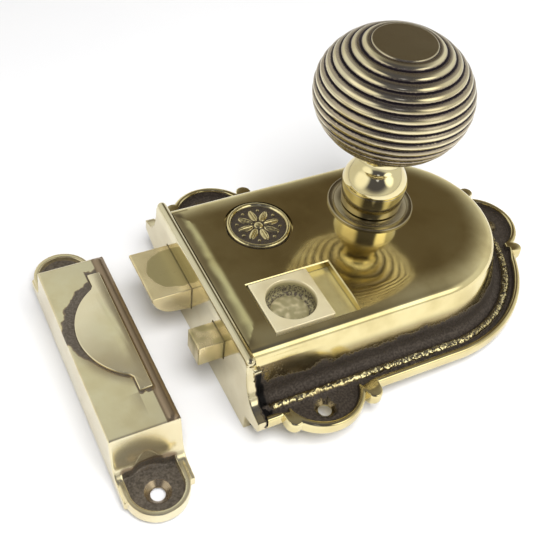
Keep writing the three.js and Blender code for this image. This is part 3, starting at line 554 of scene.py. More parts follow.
def case_section(base):
    """The section through wall and flange, from the top down: distance from the wall and height."""
    inner, outer = rim_inside(base), rim_outside(base)
    rows = []
    for i in range(11):
        share = i / 10
        rows.append((-EDGE - DROOP_WIDTH * (1 - share), CASE_TOP - TOP_DROOP * share ** 2))
    slope = math.degrees(math.atan(2 * TOP_DROOP / DROOP_WIDTH))
    rise = EDGE / math.cos(math.radians(slope))
    centre_out = -rise * math.sin(math.radians(slope)) - EDGE
    centre_z = CASE_TOP - TOP_DROOP - rise * math.cos(math.radians(slope))
    rows += arc((centre_out, centre_z), rise, 90 - slope, 8, 12)[1:]
    wall_top, wall_foot = rows[-1], (2.1, 7.4)
    rows += bend(wall_top, (wall_top[0] + 1.2, 13.5), wall_foot, 14)[1:]
    rows += bend(wall_foot, (2.5, 3.4), (4.6, FIELD_Z + 0.2), 9)[1:]
    rows += [(4.9, FIELD_Z), (5.3, FIELD_Z)]
    for i in range(15):
        across = (i - 7) / 7
        lift = RIDGE_HEIGHT * (1 - across ** 2) ** 1.3
        rows.append((RIDGE_MIDDLE + RIDGE_HALF_WIDTH * across, FIELD_Z + lift))
    field_start, field_end = 9.7, inner - 0.5
    rows += [(field_start + (field_end - field_start) * i / 12, FIELD_Z) for i in range(1, 13)]
    crown = (outer - inner) / 2
    rows += [(inner - 0.1, FIELD_Z + 0.5), (inner + 0.05, RIM_TOP - 0.8), (inner + 0.25, RIM_TOP - 0.25)]
    rows += [(inner + 0.6, RIM_TOP), (inner + crown, RIM_TOP + 0.05), (outer - 0.7, RIM_TOP - 0.05)]
    rows += [(outer - 0.3, RIM_TOP - 0.3), (outer - 0.05, RIM_TOP - 0.8), (outer, 3.0), (outer, 1.2)]
    rows += [(outer - 0.1, 0.4), (outer - 0.4, 0.0)]
    return rows


def outside_distance(x, y):
    """Distance of a point outside the case wall, seen from above, with the station it belongs to."""
    if x < TAIL_X:
        side = 1.0 if y > 0 else -1.0
        return abs(y) - CASE_HALF_WIDTH, (x, side * CASE_HALF_WIDTH, 0.0, side)
    radius = math.hypot(x - TAIL_X, y) or 1e-9
    nx, ny = (x - TAIL_X) / radius, y / radius
    return radius - CASE_HALF_WIDTH, (TAIL_X + CASE_HALF_WIDTH * nx, CASE_HALF_WIDTH * ny, nx, ny)


def cast_grain(x, y, distance):
    """How far the rough casting stands off the smooth shape, in the field and on the ridge."""
    on_ridge = 1 - smoothstep(1.2, 2.0, abs(distance - RIDGE_MIDDLE))
    height = 0.13 * rough(x, y, 0, 1.3) + 0.09 * rough(x, y, 5, 0.6)
    return height + on_ridge * (0.30 * rough(x, y, 9, 1.0) + 0.28 * rough(x, y, 3, 0.55))


def case_outside():
    """The outside of case and flange as one closed skin, from sections round the wall."""
    stations = outline_stations()
    points, count = [], 0
    for base in stations:
        x, y, nx, ny = base
        rows = case_section(base)
        count = len(rows)
        inner = rim_inside(base)
        for distance, height in rows:
            px, py = x + nx * distance, y + ny * distance
            if 1.6 < distance < inner - 0.2 and height < RIM_TOP + 0.2:
                height += cast_grain(px, py, distance)
            points.append((px, py, height))
    faces = []
    for i in range(len(stations) - 1):
        for j in range(count - 1):
            a, b = i * count + j, (i + 1) * count + j
            faces.append((a, a + 1, b + 1, b))
    last = (len(stations) - 1) * count
    faces.append(tuple(i * count for i in range(len(stations))))
    faces.append(tuple(i * count + count - 1 for i in reversed(range(len(stations)))))
    faces.append(tuple(range(count)) + tuple(last + j for j in reversed(range(count))))
    return outward(new_object("case_outside", points, faces))


def inset_outline(margin, front_x):
    """The D of the case grown by a margin (negative is smaller), as points."""
    radius = CASE_HALF_WIDTH + margin
    return [(front_x, -radius)] + arc((TAIL_X, 0), radius, -90, 90, 96) + [(front_x, radius)]


def slot_cutter():
    """The slot for the thumb slide, with its upper edges broken."""
    chamfer = 0.35
    cutter = block(SLOT_X, SLOT_Y, (CASE_TOP - WALL - 1, CASE_TOP + 1))
    points = []
    for grow, z in ((0, CASE_TOP - chamfer), (chamfer + 0.5, CASE_TOP + 0.5)):
        x0, x1 = SLOT_X[0] - grow, SLOT_X[1] + grow
        y0, y1 = SLOT_Y[0] - grow, SLOT_Y[1] + grow
        points += [(x0, y0, z), (x1, y0, z), (x1, y1, z), (x0, y1, z)]
    faces = [(0, 1, 2, 3), (7, 6, 5, 4)] + [(i, i + 4, (i + 1) % 4 + 4, (i + 1) % 4) for i in range(4)]
    flare = outward(new_object("flare", points, faces))
    return cutter, flare


def screw_cutters(places, floor):
    """Clearance hole and countersink for each screw."""
    profile = [
        (0, -30),
        (SCREW_RADIUS, -30),
        (SCREW_RADIUS, floor - 1.9),
        (COUNTERSINK_RADIUS, floor + 0.25),
        (COUNTERSINK_RADIUS + 2.83, floor + 3),
        (0, floor + 3),
    ]
    return [turned(profile, x, y, 72) for x, y in places]


def in_countersink(x, y, places):
    """True on the cone of a screw hole, inside the dark line round its mouth."""
    return any(math.hypot(x - px, y - py) < COUNTERSINK_RADIUS - 0.37 for px, py in places)


def case_screw_places():
    hole_y = CASE_HALF_WIDTH + FLANGE_MARGIN + 0.9
    tail_x = span("case")[0][1] - EAR_RADIUS + 5
    return [(SIDE_EAR_X - 1, -hole_y), (SIDE_EAR_X - 1, hole_y), (tail_x, TAIL_EAR_Y)]


CASE_SCREWS = case_screw_places()


def front_cove():
    """Scoops a shallow hollow along the front of the top, where polishing can't reach behind the bead."""
    start, end, depth = CASE_FRONT_X - 0.5, 9.6, 0.75
    curve = []
    for i in range(25):
        share = i / 24
        curve.append((start + (end - start) * share, CASE_TOP - depth * (1 - share) ** 2))
    outline = curve + [(end, CASE_TOP + 2), (start, CASE_TOP + 2)]
    return prism(outline, -CASE_HALF_WIDTH - 2, CASE_HALF_WIDTH + 2, "y")


def case_patina_and_shade(x, y, z):
    """Rubbed top, rim and ridge, filmed countersinks, dark grain in the field, and near-black soot and painted
    shade in the corner behind the fore-end.
    """
    distance, base = outside_distance(x, y)
    # Soot and painted shade of the corner behind the fore-end, pushed to near black on the field and lower wall
    # there.
    behind_plate = smoothstep(CASE_FRONT_X + 5.0, CASE_FRONT_X + 1.0, x + 1.2 * rough(x, y, z, 2.0))
    if distance < 0.02:
        in_cove = smoothstep(8.6, CASE_FRONT_X + 0.6, x + 0.8 * rough(x, y, 2, 3.0))
        at_top = smoothstep(CASE_TOP - 1.2, CASE_TOP - 0.3, z)
        return at_top * in_cove * (0.34 + 0.20 * smoothstep(-34, 10, y))
    if z < 0.3:
        return 0.0
    inner = rim_inside(base)
    if distance > inner + 0.1:
        return 0.10 if z < RIM_TOP - 1 else 0.0
    if distance > FLANGE_MARGIN - RIM_WIDTH - 4 and in_countersink(x, y, CASE_SCREWS):
        return 0.40
    low_wall = 0.32 * smoothstep(15, 11, z) + 0.6 * smoothstep(11.0, 8.0, z + 1.6 * rough(x, y, z, 5.0))
    speckle = 0.60 * smoothstep(34, 9, x) * smoothstep(18.5, 15.5, z)
    in_tail_ear = smoothstep(8, 16, x - TAIL_X - CASE_HALF_WIDTH)
    field = smoothstep(2.2, 3.2, distance) * (1 - 0.24 * in_tail_ear)
    crest = smoothstep(FIELD_Z + 0.5, FIELD_Z + 1.2, z + 0.4 * rough(x, y, 1, 0.9))
    rubbed = 0.95 + 0.65 * smoothstep(30, 62, x)
    ridge = rubbed * crest * (1 - smoothstep(1.5, 2.0, abs(distance - RIDGE_MIDDLE)))
    return min(1.0, max(low_wall, speckle, field)) - ridge + 1.2 * behind_plate * max(field, low_wall)


def slice_faces(work, place, direction, faces=None):
    """Adds a line of points where a plane crosses the given faces, or the whole mesh."""
    if faces is None:
        geometry = work.verts[:] + work.edges[:] + work.faces[:]
    else:
        edges = dict.fromkeys(edge for face in faces for edge in face.edges)
        verts = dict.fromkeys(vert for face in faces for vert in face.verts)
        geometry = [*verts, *edges, *faces]
    bmesh.ops.bisect_plane(work, geom=geometry, plane_co=place, plane_no=direction)


def slice_grid(obj, axis, start, stop, step):
    """Adds lines of points across an object at even places along an axis (0 for X, 1 for Y)."""
    direction = (1 - axis, axis, 0)
    with editing(obj) as work:
        for index in range(int((stop - start) / step)):
            place = frame_point(*[(start + (index + 0.5) * step) * part for part in direction])
            slice_faces(work, place, direction)


def densify_top(shell):
    """Slices the flat top finely near the front, so that the tarnish there has points to live on."""
    with editing(shell) as work:
        for step in range(1, 12):
            slice_faces(work, frame_point(CASE_FRONT_X + 0.45 * step, 0, 0), (1, 0, 0))
        for step in range(-16, 17):
            middles = [(face, lock_point(face.calc_center_median())) for face in work.faces]
            strip = [face for face, (x, _, z) in middles if x < 9.5 and z > CASE_TOP - 1.5]
            slice_faces(work, frame_point(0, 2.2 * step, 0), (0, 1, 0), strip)


def bolt_openings(x, gap):
    """Cutters for the two bolts' openings, a gap larger than the bolts all round."""
    return [
        block(x, (y[0] - gap, y[1] + gap), (z[0] - gap, z[1] + gap))
        for y, z in BOLT_SECTIONS
    ]


def build_case():
    shell = case_outside()
    gap = 0.4
    bolt_holes = bolt_openings((CASE_FRONT_X - 1, CASE_FRONT_X + WALL + 1), gap)
    cut(
        shell,
        prism(inset_outline(-WALL, CASE_FRONT_X + WALL), -1, CASE_TOP - WALL),
        prism(inset_outline(-1.3, CASE_FRONT_X + 1.8), -1, span("back_plate")[2][1]),
        *slot_cutter(),
        post(KNOB_X, KNOB_Y, (CASE_TOP - WALL - 1, CASE_TOP + 1), BUSH_SLEEVE + 0.1),
        post(MEDALLION_X, MEDALLION_Y, (CASE_TOP - 1.2, CASE_TOP + 1), 12.0, 12.3, 96),
        front_cove(),
        *bolt_holes,
        *screw_cutters(CASE_SCREWS, FIELD_Z),
    )
    densify_top(shell)
    finish_piece(
        shell, "case_casting", "lock_case", case_brass, "case", case_patina_and_shade, flat_faces=True
    )


# ---------------------------------------------------------------- fore-end


def fore_end_outline():
    """The front view of the fore-end, as (y, z) points from the near end round under the lip."""
    half_top = 38.5
    half_foot = PLATE_Y[1]
    lip = 40.5
    bead_middle = PLATE_Z[1] - middle(PLATE_X)
    right = bend((half_top, bead_middle - 1), (half_top + 0.4, 12), (half_top + 3, 8.5), 8)
    right += bend((half_top + 3.2, 8.2), (half_top + 4.5, 5), (half_foot, RIM_TOP - 0.2), 8)
    right += [(half_foot, 0.6), (half_foot - 0.6, 0.0), (lip, -3.0), (lip, PLATE_Z[0])]
    left = [(-y, z) for y, z in reversed(right)]
    return [(-half_top + 1, bead_middle)] + [(half_top - 1, bead_middle)] + right + left


def bar_along_y(x, z, y, radius, sides=48):
    """A round bar along Y with domed ends."""
    angles = [math.radians(degrees) for degrees in range(0, 91, 15)]
    dome = [(radius * math.sin(a), radius * (1 - math.cos(a))) for a in angles]
    profile = [(r, y[0] + d) for r, d in dome] + [(r, y[1] - d) for r, d in reversed(dome)]
    bar = turned(profile, 0, 0, sides)
    bar.data.transform(Matrix.Translation(-frame_point(0, 0, 0)))
    bar.data.transform(Matrix.Rotation(-math.pi / 2, 4, "X"))
    bar.data.transform(Matrix.Translation(frame_point(x, 0, z)))
    return outward(bar)


def build_fore_end():
    plate = prism(fore_end_outline(), PLATE_X[0], PLATE_X[1], "x")
    bead_radius = middle(PLATE_X) + 0.05
    bead = bar_along_y(bead_radius, PLATE_Z[1] - bead_radius, (-39.0, 39.0), bead_radius)
    cheek_x = (PLATE_X[1] - 1, 5.0)
    cheeks = []
    for side in (-1, 1):
        y = sorted((side * (CASE_HALF_WIDTH + 0.6), side * 39.6))
        cheeks.append(block(cheek_x, y, (3.0, 17.5)))
        foot = sorted((side * (CASE_HALF_WIDTH + 0.6), side * 48.6))
        cheeks.append(block(cheek_x, foot, (0.4, RIM_TOP - 0.4)))
    join(plate, bead, *cheeks)
    gap = 0.42
    lip_back = block((3.0, 9), (-60, 60), (PLATE_Z[0] - 2, -0.3))
    cut(plate, lip_back, *bolt_openings((-2, 9), gap))
    soften(plate, 0.25, 4)

    def tarnish(x, y, z):
        # Painted shadow: near black inside the bolt openings and just round them, where the gaps about the
        # bolts lie in shade.
        in_opening = any(
            b[0] - 0.6 < y < b[1] + 0.6 and h[0] - 0.6 < z < h[1] + 0.6
            for b, h in BOLT_SECTIONS
        )
        if in_opening:
            return 2.0 * smoothstep(0.05, 0.4, x)
        # Behind the plate and on its cheeks, below the bead, near black: soot and painted shade of the corner
        # behind the fore-end, reaching further forward at the near end. The lower front face gets a light film.
        near_end = 0.9 * smoothstep(-33, -38, y)
        back = smoothstep(3.3 - near_end, 4.4 - near_end, x + 0.7 * rough(x, y, z, 1.6))
        front = 0.13 * smoothstep(1.0, 0.4, x) * smoothstep(18.5, 16.5, z)
        return max(2.0 * back * smoothstep(17.5, 15.5, z), front)

    finish_piece(
        plate, "fore_end", "lock_case", polished_brass, "fore_end_plate", tarnish, 60
    )


# ---------------------------------------------------------------- medallion and knob


def medallion_height(radius, angle, outer):
    """The relief of the badge: a rounded border, a plain eight-petalled rosette and a ring of dots."""
    half_border = 0.85
    border = math.sqrt(max(0.0, 1 - ((radius - outer + half_border) / half_border) ** 2))
    petal_middle = 4.9
    turn = math.pi / 4
    near = (angle + turn / 2) % turn - turn / 2
    across = radius * math.sin(near)
    along = (radius * math.cos(near) - petal_middle) / 2.8
    width = 1.45 * math.sqrt(max(0.0, 1 - along * along))
    petal = math.sqrt(max(0.0, 1 - (across / width) ** 2)) if width > 0.05 and abs(across) < width else 0.0
    vein = 0.5 * math.exp(-(across / 0.18) ** 2) if petal > 0.3 else 0.0
    boss = math.sqrt(max(0.0, 1 - (radius / 1.7) ** 2))
    shifted = (angle + turn) % turn - turn / 2
    dot_distance = math.hypot(radius * math.cos(shifted) - 7.6, radius * math.sin(shifted))
    dot = math.sqrt(max(0.0, 1 - (dot_distance / 0.7) ** 2))
    return max(0.95 * border, 0.62 * petal * (1 - vein), 0.8 * boss, 0.45 * dot)


def build_medallion():
    outer = (span("medallion")[0][1] - span("medallion")[0][0]) / 2
    seat, field = span("medallion")[2][0], CASE_TOP - 0.35
    rings, sides = 64, 192
    points = [(MEDALLION_X, MEDALLION_Y, field + medallion_height(0, 0, outer))]
    for ring in range(1, rings + 1):
        radius = outer * ring / rings
        for side in range(sides):
            angle = 2 * math.pi * side / sides
            x, y = MEDALLION_X + radius * math.cos(angle), MEDALLION_Y + radius * math.sin(angle)
            height = field + medallion_height(radius, angle, outer) + 0.06 * rough(x, y, 2, 0.8)
            points.append((x, y, height))
    faces = [(0, 1 + side, 1 + (side + 1) % sides) for side in range(sides)]
    for ring in range(rings - 1):
        start = 1 + ring * sides
        for side in range(sides):
            a, b = start + side, start + (side + 1) % sides
            faces.append((a, a + sides, b + sides, b))
    base = len(points)
    edge = 1 + (rings - 1) * sides
    points += circle(MEDALLION_X, MEDALLION_Y, seat, outer, sides)
    faces += [(edge + s, base + s, base + (s + 1) % sides, edge + (s + 1) % sides) for s in range(sides)]
    faces.append(tuple(base + s for s in reversed(range(sides))))
    badge = outward(new_object("badge", points, faces))

    def tarnish(x, y, z):
        return 0.85 * smoothstep(field + 0.45, field + 0.05, z)

    finish_piece(badge, "rosette_badge", "lock_case", case_brass, "medallion", tarnish, 60)


def build_bush():
    outer = (span("knob_bush")[0][1] - span("knob_bush")[0][0]) / 2
    bottom, top = span("knob_bush")[2]
    bore = BUSH_BORE
    profile = [(bore, bottom), (BUSH_SLEEVE, bottom), (BUSH_SLEEVE, CASE_TOP), (outer - 0.1, CASE_TOP)]
    profile += arc((outer - 0.5, top - 0.5), 0.5, 0, 90, 6)
    profile += [(outer - 2.0, top), (outer - 2.3, top - 0.25), (outer - 2.6, top), (bore + 0.4, top)]
    profile += [(bore, top - 0.4), (bore, bottom)]
    bush = closed_ring(profile, KNOB_X, KNOB_Y)
    # An even brown film over the whole ring, painted shade beneath the knob's collar.
    finish_piece(
        bush, "bush_ring", "lock_case", polished_brass, "knob_bush", lambda x, y, z: 0.34
    )


def closed_ring(profile, x, y, sides=160):
    """A turned ring from a closed profile of (radius, z) whose last point repeats its first."""
    rows = profile[:-1]
    points = []
    for radius, z in rows:
        points += circle(x, y, z, radius, sides)
    faces = []
    for row in range(len(rows)):
        here, there = row * sides, (row + 1) % len(rows) * sides
        for side in range(sides):
            after = (side + 1) % sides
            faces.append((here + side, here + after, there + after, there + side))
    return outward(new_object("ring", points, faces))


REED_DEPTH = 1.25
REEDS = 17


def build_knob_ball():
    (x0, x1), _, (bottom, top) = span("knob_ball")
    radius = (x1 - x0) / 2 + 0.05
    crown_radius = 10.8
    polar, centre_z = 21.6, 70.2
    low = math.asin((bottom - centre_z) / polar)
    high = math.asin(min(1.0, (top - centre_z) / polar))
    steps = 14
    profile = [(0, bottom)]
    for i in range(REEDS * steps + 1):
        angle = low + (high - low) * i / (REEDS * steps)
        across = (i % steps) / steps * 2 - 1
        inset = REED_DEPTH * (1 - math.sqrt(max(0.0, 1 - (0.985 * across) ** 2)))
        scale = 1 - inset / radius
        profile.append((radius * math.cos(angle) * scale, centre_z + polar * math.sin(angle) * scale))
    profile += [(crown_radius + 0.1, top - 0.9), (crown_radius, top - 0.15), (crown_radius - 0.2, top)]
    profile += [(crown_radius - 0.5, top), (0, top)]
    ball = turned([p for p in profile if p[1] <= top + 1e-6], KNOB_X, KNOB_Y, 192)

    def tarnish(x, y, z):
        flat = math.hypot(x - KNOB_X, y - KNOB_Y)
        if z > top - 0.3 and flat < crown_radius + 0.2:
            return 0.25
        size = math.hypot(flat / radius, (z - centre_z) / polar)
        depth = (1 - size) * radius / REED_DEPTH
        lift = math.asin(max(-1.0, min(1.0, (z - centre_z) / polar / size)))
        along_reed = (lift - low) / (high - low) * REEDS % 1
        # A film over each reed except a bare band on its lower middle, which paints the dark reflection of the
        # room on the reeds' upper parts; the grooves between reeds go dark, tarnish in the hollows widened to
        # paint more of that dark reflection.
        reed_film_and_painted_reflection = 0.42 * (1 - smoothstep(0.14, 0.26, along_reed) * smoothstep(0.64, 0.50, along_reed))
        return max(reed_film_and_painted_reflection, 0.04 + 0.96 * smoothstep(0.08, 0.40, depth))

    finish_piece(ball, "beehive_ball", "knob", knob_brass, "knob_ball", tarnish, 50, True)


def build_knob_shank():
    bottom = span("knob_shank")[2][0]
    neck_top = span("knob_ball")[2][0] + 0.6
    collar, shoulder, neck = 11.0, 11.75, 5.9
    line_z = 33.0
    profile = [(0, bottom), (collar - 0.4, bottom)]
    profile += [(collar - 0.1, bottom + 0.1), (collar, bottom + 0.5), (shoulder - 0.1, line_z - 0.2)]
    profile += [(shoulder - 0.3, line_z), (shoulder - 0.1, line_z + 0.2)]
    profile += bend((shoulder - 0.05, line_z + 0.4), (shoulder - 0.6, 36.9), (neck + 2.3, 40.2), 16)
    profile += bend((neck + 2.0, 40.4), (neck + 0.3, 41.6), (neck, 44.0), 8)[1:]
    profile += bend((neck, 46.0), (neck, 48.3), (neck + 1.1, neck_top - 0.3), 6)
    profile += [(neck + 1.0, neck_top), (0, neck_top)]
    shank = turned(profile, KNOB_X, KNOB_Y, 160)
    square = (span("spindle")[0][1] - span("spindle")[0][0]) / 2 + 0.1
    hole_x = (KNOB_X - square, KNOB_X + square)
    hole_y = (KNOB_Y - square, KNOB_Y + square)
    hole = block(hole_x, hole_y, (bottom - 2, 39.0))
    screw = bar_along_y(KNOB_X, 30, (KNOB_Y + 1, KNOB_Y + 16), 2.1)
    cut(shank, hole, screw)

    def tarnish(x, y, z):
        return 0.6 * smoothstep(0.3, 0.05, abs(z - line_z))

    finish_piece(shank, "bell_shank", "knob", shank_brass, "knob_shank", tarnish)


# ---------------------------------------------------------------- bolts and thumb slide


def build_latch_bolt():
    bottom, top = LATCH_Z
    tip = LATCH_X[0]
    root = 18.0
    side_view = [(tip, top), (tip, top - 0.8)]
    side_view += bend((tip + 0.15, top - 1.6), (tip + 2.6, bottom + 1.6), (tip + 8.0, bottom + 0.75), 14)
    side_view += [(-1.0, bottom), (root, bottom), (root, top)]
    head = prism(side_view, *LATCH_Y, "y")
    round_edges(head, 0.35)
    bar_y = (21.6, 27.2)
    join(
        head,
        block((root - 1, LATCH_X[1]), bar_y, (bottom + 0.2, bottom + 3.2)),
        block((LATCH_X[1] - 5, LATCH_X[1]), bar_y, (bottom + 3, bottom + 9)),
    )

    def tarnish(x, y, z):
        if z < top - 0.5 or x > 1:
            return 0.12 + 0.12 * rough(x, y, z, 4)
        stain_x, stain_y, stain_length, stain_width = -1.5, 16.6, 10.2, 9.2
        edge = math.hypot((x - stain_x) / stain_length, (y - stain_y) / stain_width)
        edge += 0.05 * rough(x, y, 1, 3.0)
        return 0.5 * smoothstep(1.01, 0.96, edge)

    slice_grid(head, 0, tip, 2, 0.4)
    slice_grid(head, 1, *LATCH_Y, 0.5)
    finish_piece(head, "sprung_latch_bolt", "latch", bolt_brass, "latch_bolt", tarnish, 30)


def densify(obj, levels):
    """Adds points on flat faces, so that painted tarnish and painted shade can change across them."""
    triangulate = obj.modifiers.new("triangles", "TRIANGULATE")
    triangulate.min_vertices = 5
    split = obj.modifiers.new("split", "SUBSURF")
    split.subdivision_type = "SIMPLE"
    split.levels = levels
    return bake(obj)


def build_night_bolt():
    bolt = block((NIGHT_X[0], NIGHT_X[1]), NIGHT_Y, NIGHT_Z)
    round_edges(bolt, 0.4)
    click_x, travel = 39.0, 8.7
    notch_z = (NIGHT_Z[0] - 1, NIGHT_Z[1] + 1)
    cut(bolt, *[post(x, NIGHT_Y[0] - 0.6, notch_z, 1.4) for x in (click_x - travel, click_x)])
    slice_grid(bolt, 0, NIGHT_X[0], 1, 0.5)
    slice_grid(bolt, 1, *NIGHT_Y, 0.6)

    def tarnish(x, y, z):
        return 0.22 + 0.5 * rough(x, y, z, 2.6) + 0.2 * smoothstep(NIGHT_Z[1], NIGHT_Z[0], z)

    finish_piece(
        bolt, "square_night_bolt", "night_slide", bolt_brass, "night_bolt", tarnish, 30
    )


def build_thumb_slide():
    top = SLIDE_Z[1]
    plate = block(SLIDE_X, SLIDE_Y, (CASE_TOP - WALL - 0.2, top))
    round_edges(plate, 0.3)
    x, y = middle(SLIDE_X), middle(SLIDE_Y)
    radius, floor = SLIDE_RECESS_RADIUS, top - SLIDE_RECESS_DEPTH
    cup = post(x, y, (SLIDE_Z[0], CASE_TOP - WALL), radius + 1.4, None, 96)
    hollow = [(0, floor), (radius - 1.2, floor), (radius - 0.35, floor + 0.35), (radius, floor + 1.2)]
    hollow += [(radius, top - 0.5), (radius + 0.15, top - 0.15), (radius + 0.8, top + 0.5), (0, top + 0.5)]
    join(plate, cup)
    cut(plate, turned(hollow, x, y, 128))
    densify(plate, 1)

    # Painted shade in the finger recess: film turning to crust down its wall and over its floor.
    def tarnish(px, py, pz):
        inside = math.hypot(px - x, py - y) < radius + 0.1
        return 0.74 * smoothstep(top - 0.6, top - 2.2, pz) if inside else 0.0

    finish_piece(
        plate, "thumb_slide_button", "night_slide", satin_brass, "thumb_slide", tarnish
    )


def build_slide_rivet():
    """The rivet's wide low head fills most of the recess; its shank goes down into the night bolt."""
    x, y = middle(span("slide_rivet")[0]), middle(span("slide_rivet")[1])
    bottom, top = span("slide_rivet")[2]
    shank = post(x, y, (bottom, top - 0.5), 2.0)
    head_radius = 6.6
    profile = [(0, top - 1.0), (head_radius, top - 1.0)]
    edge_low, edge_high = (head_radius, top - 0.7), (head_radius - 1.4, top - 0.05)
    profile += bend(edge_low, (head_radius - 0.1, top - 0.2), edge_high, 6)
    profile += [(1.2, top), (0.5, top - 0.12), (0, top - 0.25)]
    head = turned(profile, middle(SLIDE_X), middle(SLIDE_Y), 128)
    join(head, shank)
    densify(head, 2)

    def tarnish(px, py, pz):
        return 0.40 + 0.35 * rough(px, py, pz, 1.6)

    finish_piece(
        head, "slide_rivet_head", "night_slide", satin_brass, "slide_rivet", tarnish
    )


# ---------------------------------------------------------------- keep

KEEP_MIDDLE_Y = middle(KEEP_Y)
KEEP_HALF = 37.0
KEEP_FOOT_HALF = 49.5
KEEP_TOP = CRESCENT_Z[0]
KEEP_EAR_RADIUS = 10.5
KEEP_EAR_X = middle(KEEP_X) - 0.4


def keep_side_view():
    """The keep from its long side as (y, z): ends that lean out a little, then sweep out to a low foot."""
    base = KEEP_Z[0]
    flare_top, foot = base + 10.5, base + 3.4
    flare = KEEP_HALF + 1.9
    near = [(KEEP_HALF, KEEP_TOP), (flare, flare_top)]
    near += bend((flare, flare_top), (flare + 0.9, foot + 1.4), (flare + 4.4, foot + 0.7), 10)[1:]
    near += [(KEEP_FOOT_HALF, foot), (KEEP_FOOT_HALF, base)]
    points = near + [(-y, z) for y, z in reversed(near)]
    return [(KEEP_MIDDLE_Y + y, z) for y, z in points]


def tongue(side, radius, wall, z):
    """A round-ended tongue from the end wall to the middle of an ear."""
    ear_y = KEEP_MIDDLE_Y + side * (KEEP_Y[1] - KEEP_MIDDLE_Y - KEEP_EAR_RADIUS)
    y = sorted((KEEP_MIDDLE_Y + side * wall, ear_y))
    bar = block((KEEP_EAR_X - radius, KEEP_EAR_X + radius), y, z)
    return join(bar, post(KEEP_EAR_X, ear_y, z, radius, None, 96))


def build_keep():
    base = KEEP_Z[0]
    rim, floor = base + 4.4, base + 2.2
    rim_width = 1.8
    body = prism(keep_side_view(), *KEEP_X, "x")
    bead_radius = 2.1
    ends = (KEEP_MIDDLE_Y - KEEP_HALF - 0.2, KEEP_MIDDLE_Y + KEEP_HALF + 0.2)
    bead = bar_along_y(KEEP_X[1] - bead_radius, KEEP_Z[1] - bead_radius, ends, bead_radius)
    join(body, bead, *[tongue(side, KEEP_EAR_RADIUS, KEEP_HALF - 1, (base, rim)) for side in (-1, 1)])
    ear_reach = KEEP_Y[1] - KEEP_MIDDLE_Y - KEEP_EAR_RADIUS
    holes = [(KEEP_EAR_X, KEEP_MIDDLE_Y + side * (ear_reach + 1)) for side in (-1, 1)]
    inside = KEEP_HALF - WALL
    pocket_radius, pocket_z = KEEP_EAR_RADIUS - rim_width, (floor, KEEP_TOP + 5)
    cut(
        body,
        *[tongue(side, pocket_radius, KEEP_HALF + 3.6, pocket_z) for side in (-1, 1)],
        block(
            (KEEP_X[0] + WALL, KEEP_X[1] + 5),
            (KEEP_MIDDLE_Y - inside, KEEP_MIDDLE_Y + inside),
            (base - 2, KEEP_TOP - WALL),
        ),
        *screw_cutters(holes, floor),
    )
    soften(body, 0.28, 4)

    def tarnish(x, y, z):
        along = abs(y - KEEP_MIDDLE_Y)
        if z > KEEP_TOP - 0.4 and along < KEEP_HALF:
            # A painted dark stripe along the groove beside the bead stands for the reflection and shade there;
            # round the half-moon, its painted shadow line and tarnish.
            groove = 0.34 * smoothstep(0.9, 0.0, abs(x - KEEP_X[1] + 2 * bead_radius - 0.2))
            return max(crescent_shadow_and_tarnish(x, y), groove)
        if z < rim and in_countersink(x, y, holes):
            return 0.40
        in_pocket = math.hypot(x - KEEP_EAR_X, max(0.0, along - ear_reach)) < KEEP_EAR_RADIUS - 1.9
        if along > KEEP_HALF + 3.0 and in_pocket and z < floor + 1.6:
            return 1.0
        # Darker towards the foot of each end wall by the ear: soot and painted shade where the wall meets the
        # ear.
        if KEEP_HALF < along < KEEP_HALF + 3.8:
            aside = abs(x - KEEP_EAR_X) + rough(x, y, z, 3)
            inside_foot = smoothstep(KEEP_EAR_RADIUS, KEEP_EAR_RADIUS - 2.5, aside)
            soot_and_shade = inside_foot * smoothstep(base + 8.0, base + 5.0, z + 1.5 * rough(x, y, z, 5))
            return 0.04 + 0.80 * soot_and_shade
        return 0.0

    finish_piece(body, "keep_casting", "keep", keep_brass, "keep_box", tarnish, 60)


def crescent_outline():
    """The half-moon on the keep: a round-backed segment between two square tabs, as (x, y)."""
    straight, tab = CRESCENT_X[1], CRESCENT_X[1] - 4.3
    tab_half = (CRESCENT_Y[1] - CRESCENT_Y[0]) / 2
    arc_half, radius = 19.2, 22.6
    spread = math.degrees(math.asin(arc_half / radius))
    centre_x = tab - 0.9 + radius * math.cos(math.radians(spread))
    y = middle(CRESCENT_Y)
    points = [(straight, y - tab_half), (straight, y + tab_half)]
    points += [(tab, y + tab_half), (tab, y + arc_half + 1.4)]
    points += arc((centre_x, y), radius, 180 - spread, 180 + spread, 48)
    points += [(tab, y - arc_half - 1.4), (tab, y - tab_half)]
    return points, (centre_x, y), radius


CRESCENT_POINTS, CRESCENT_CENTRE, CRESCENT_RADIUS = crescent_outline()


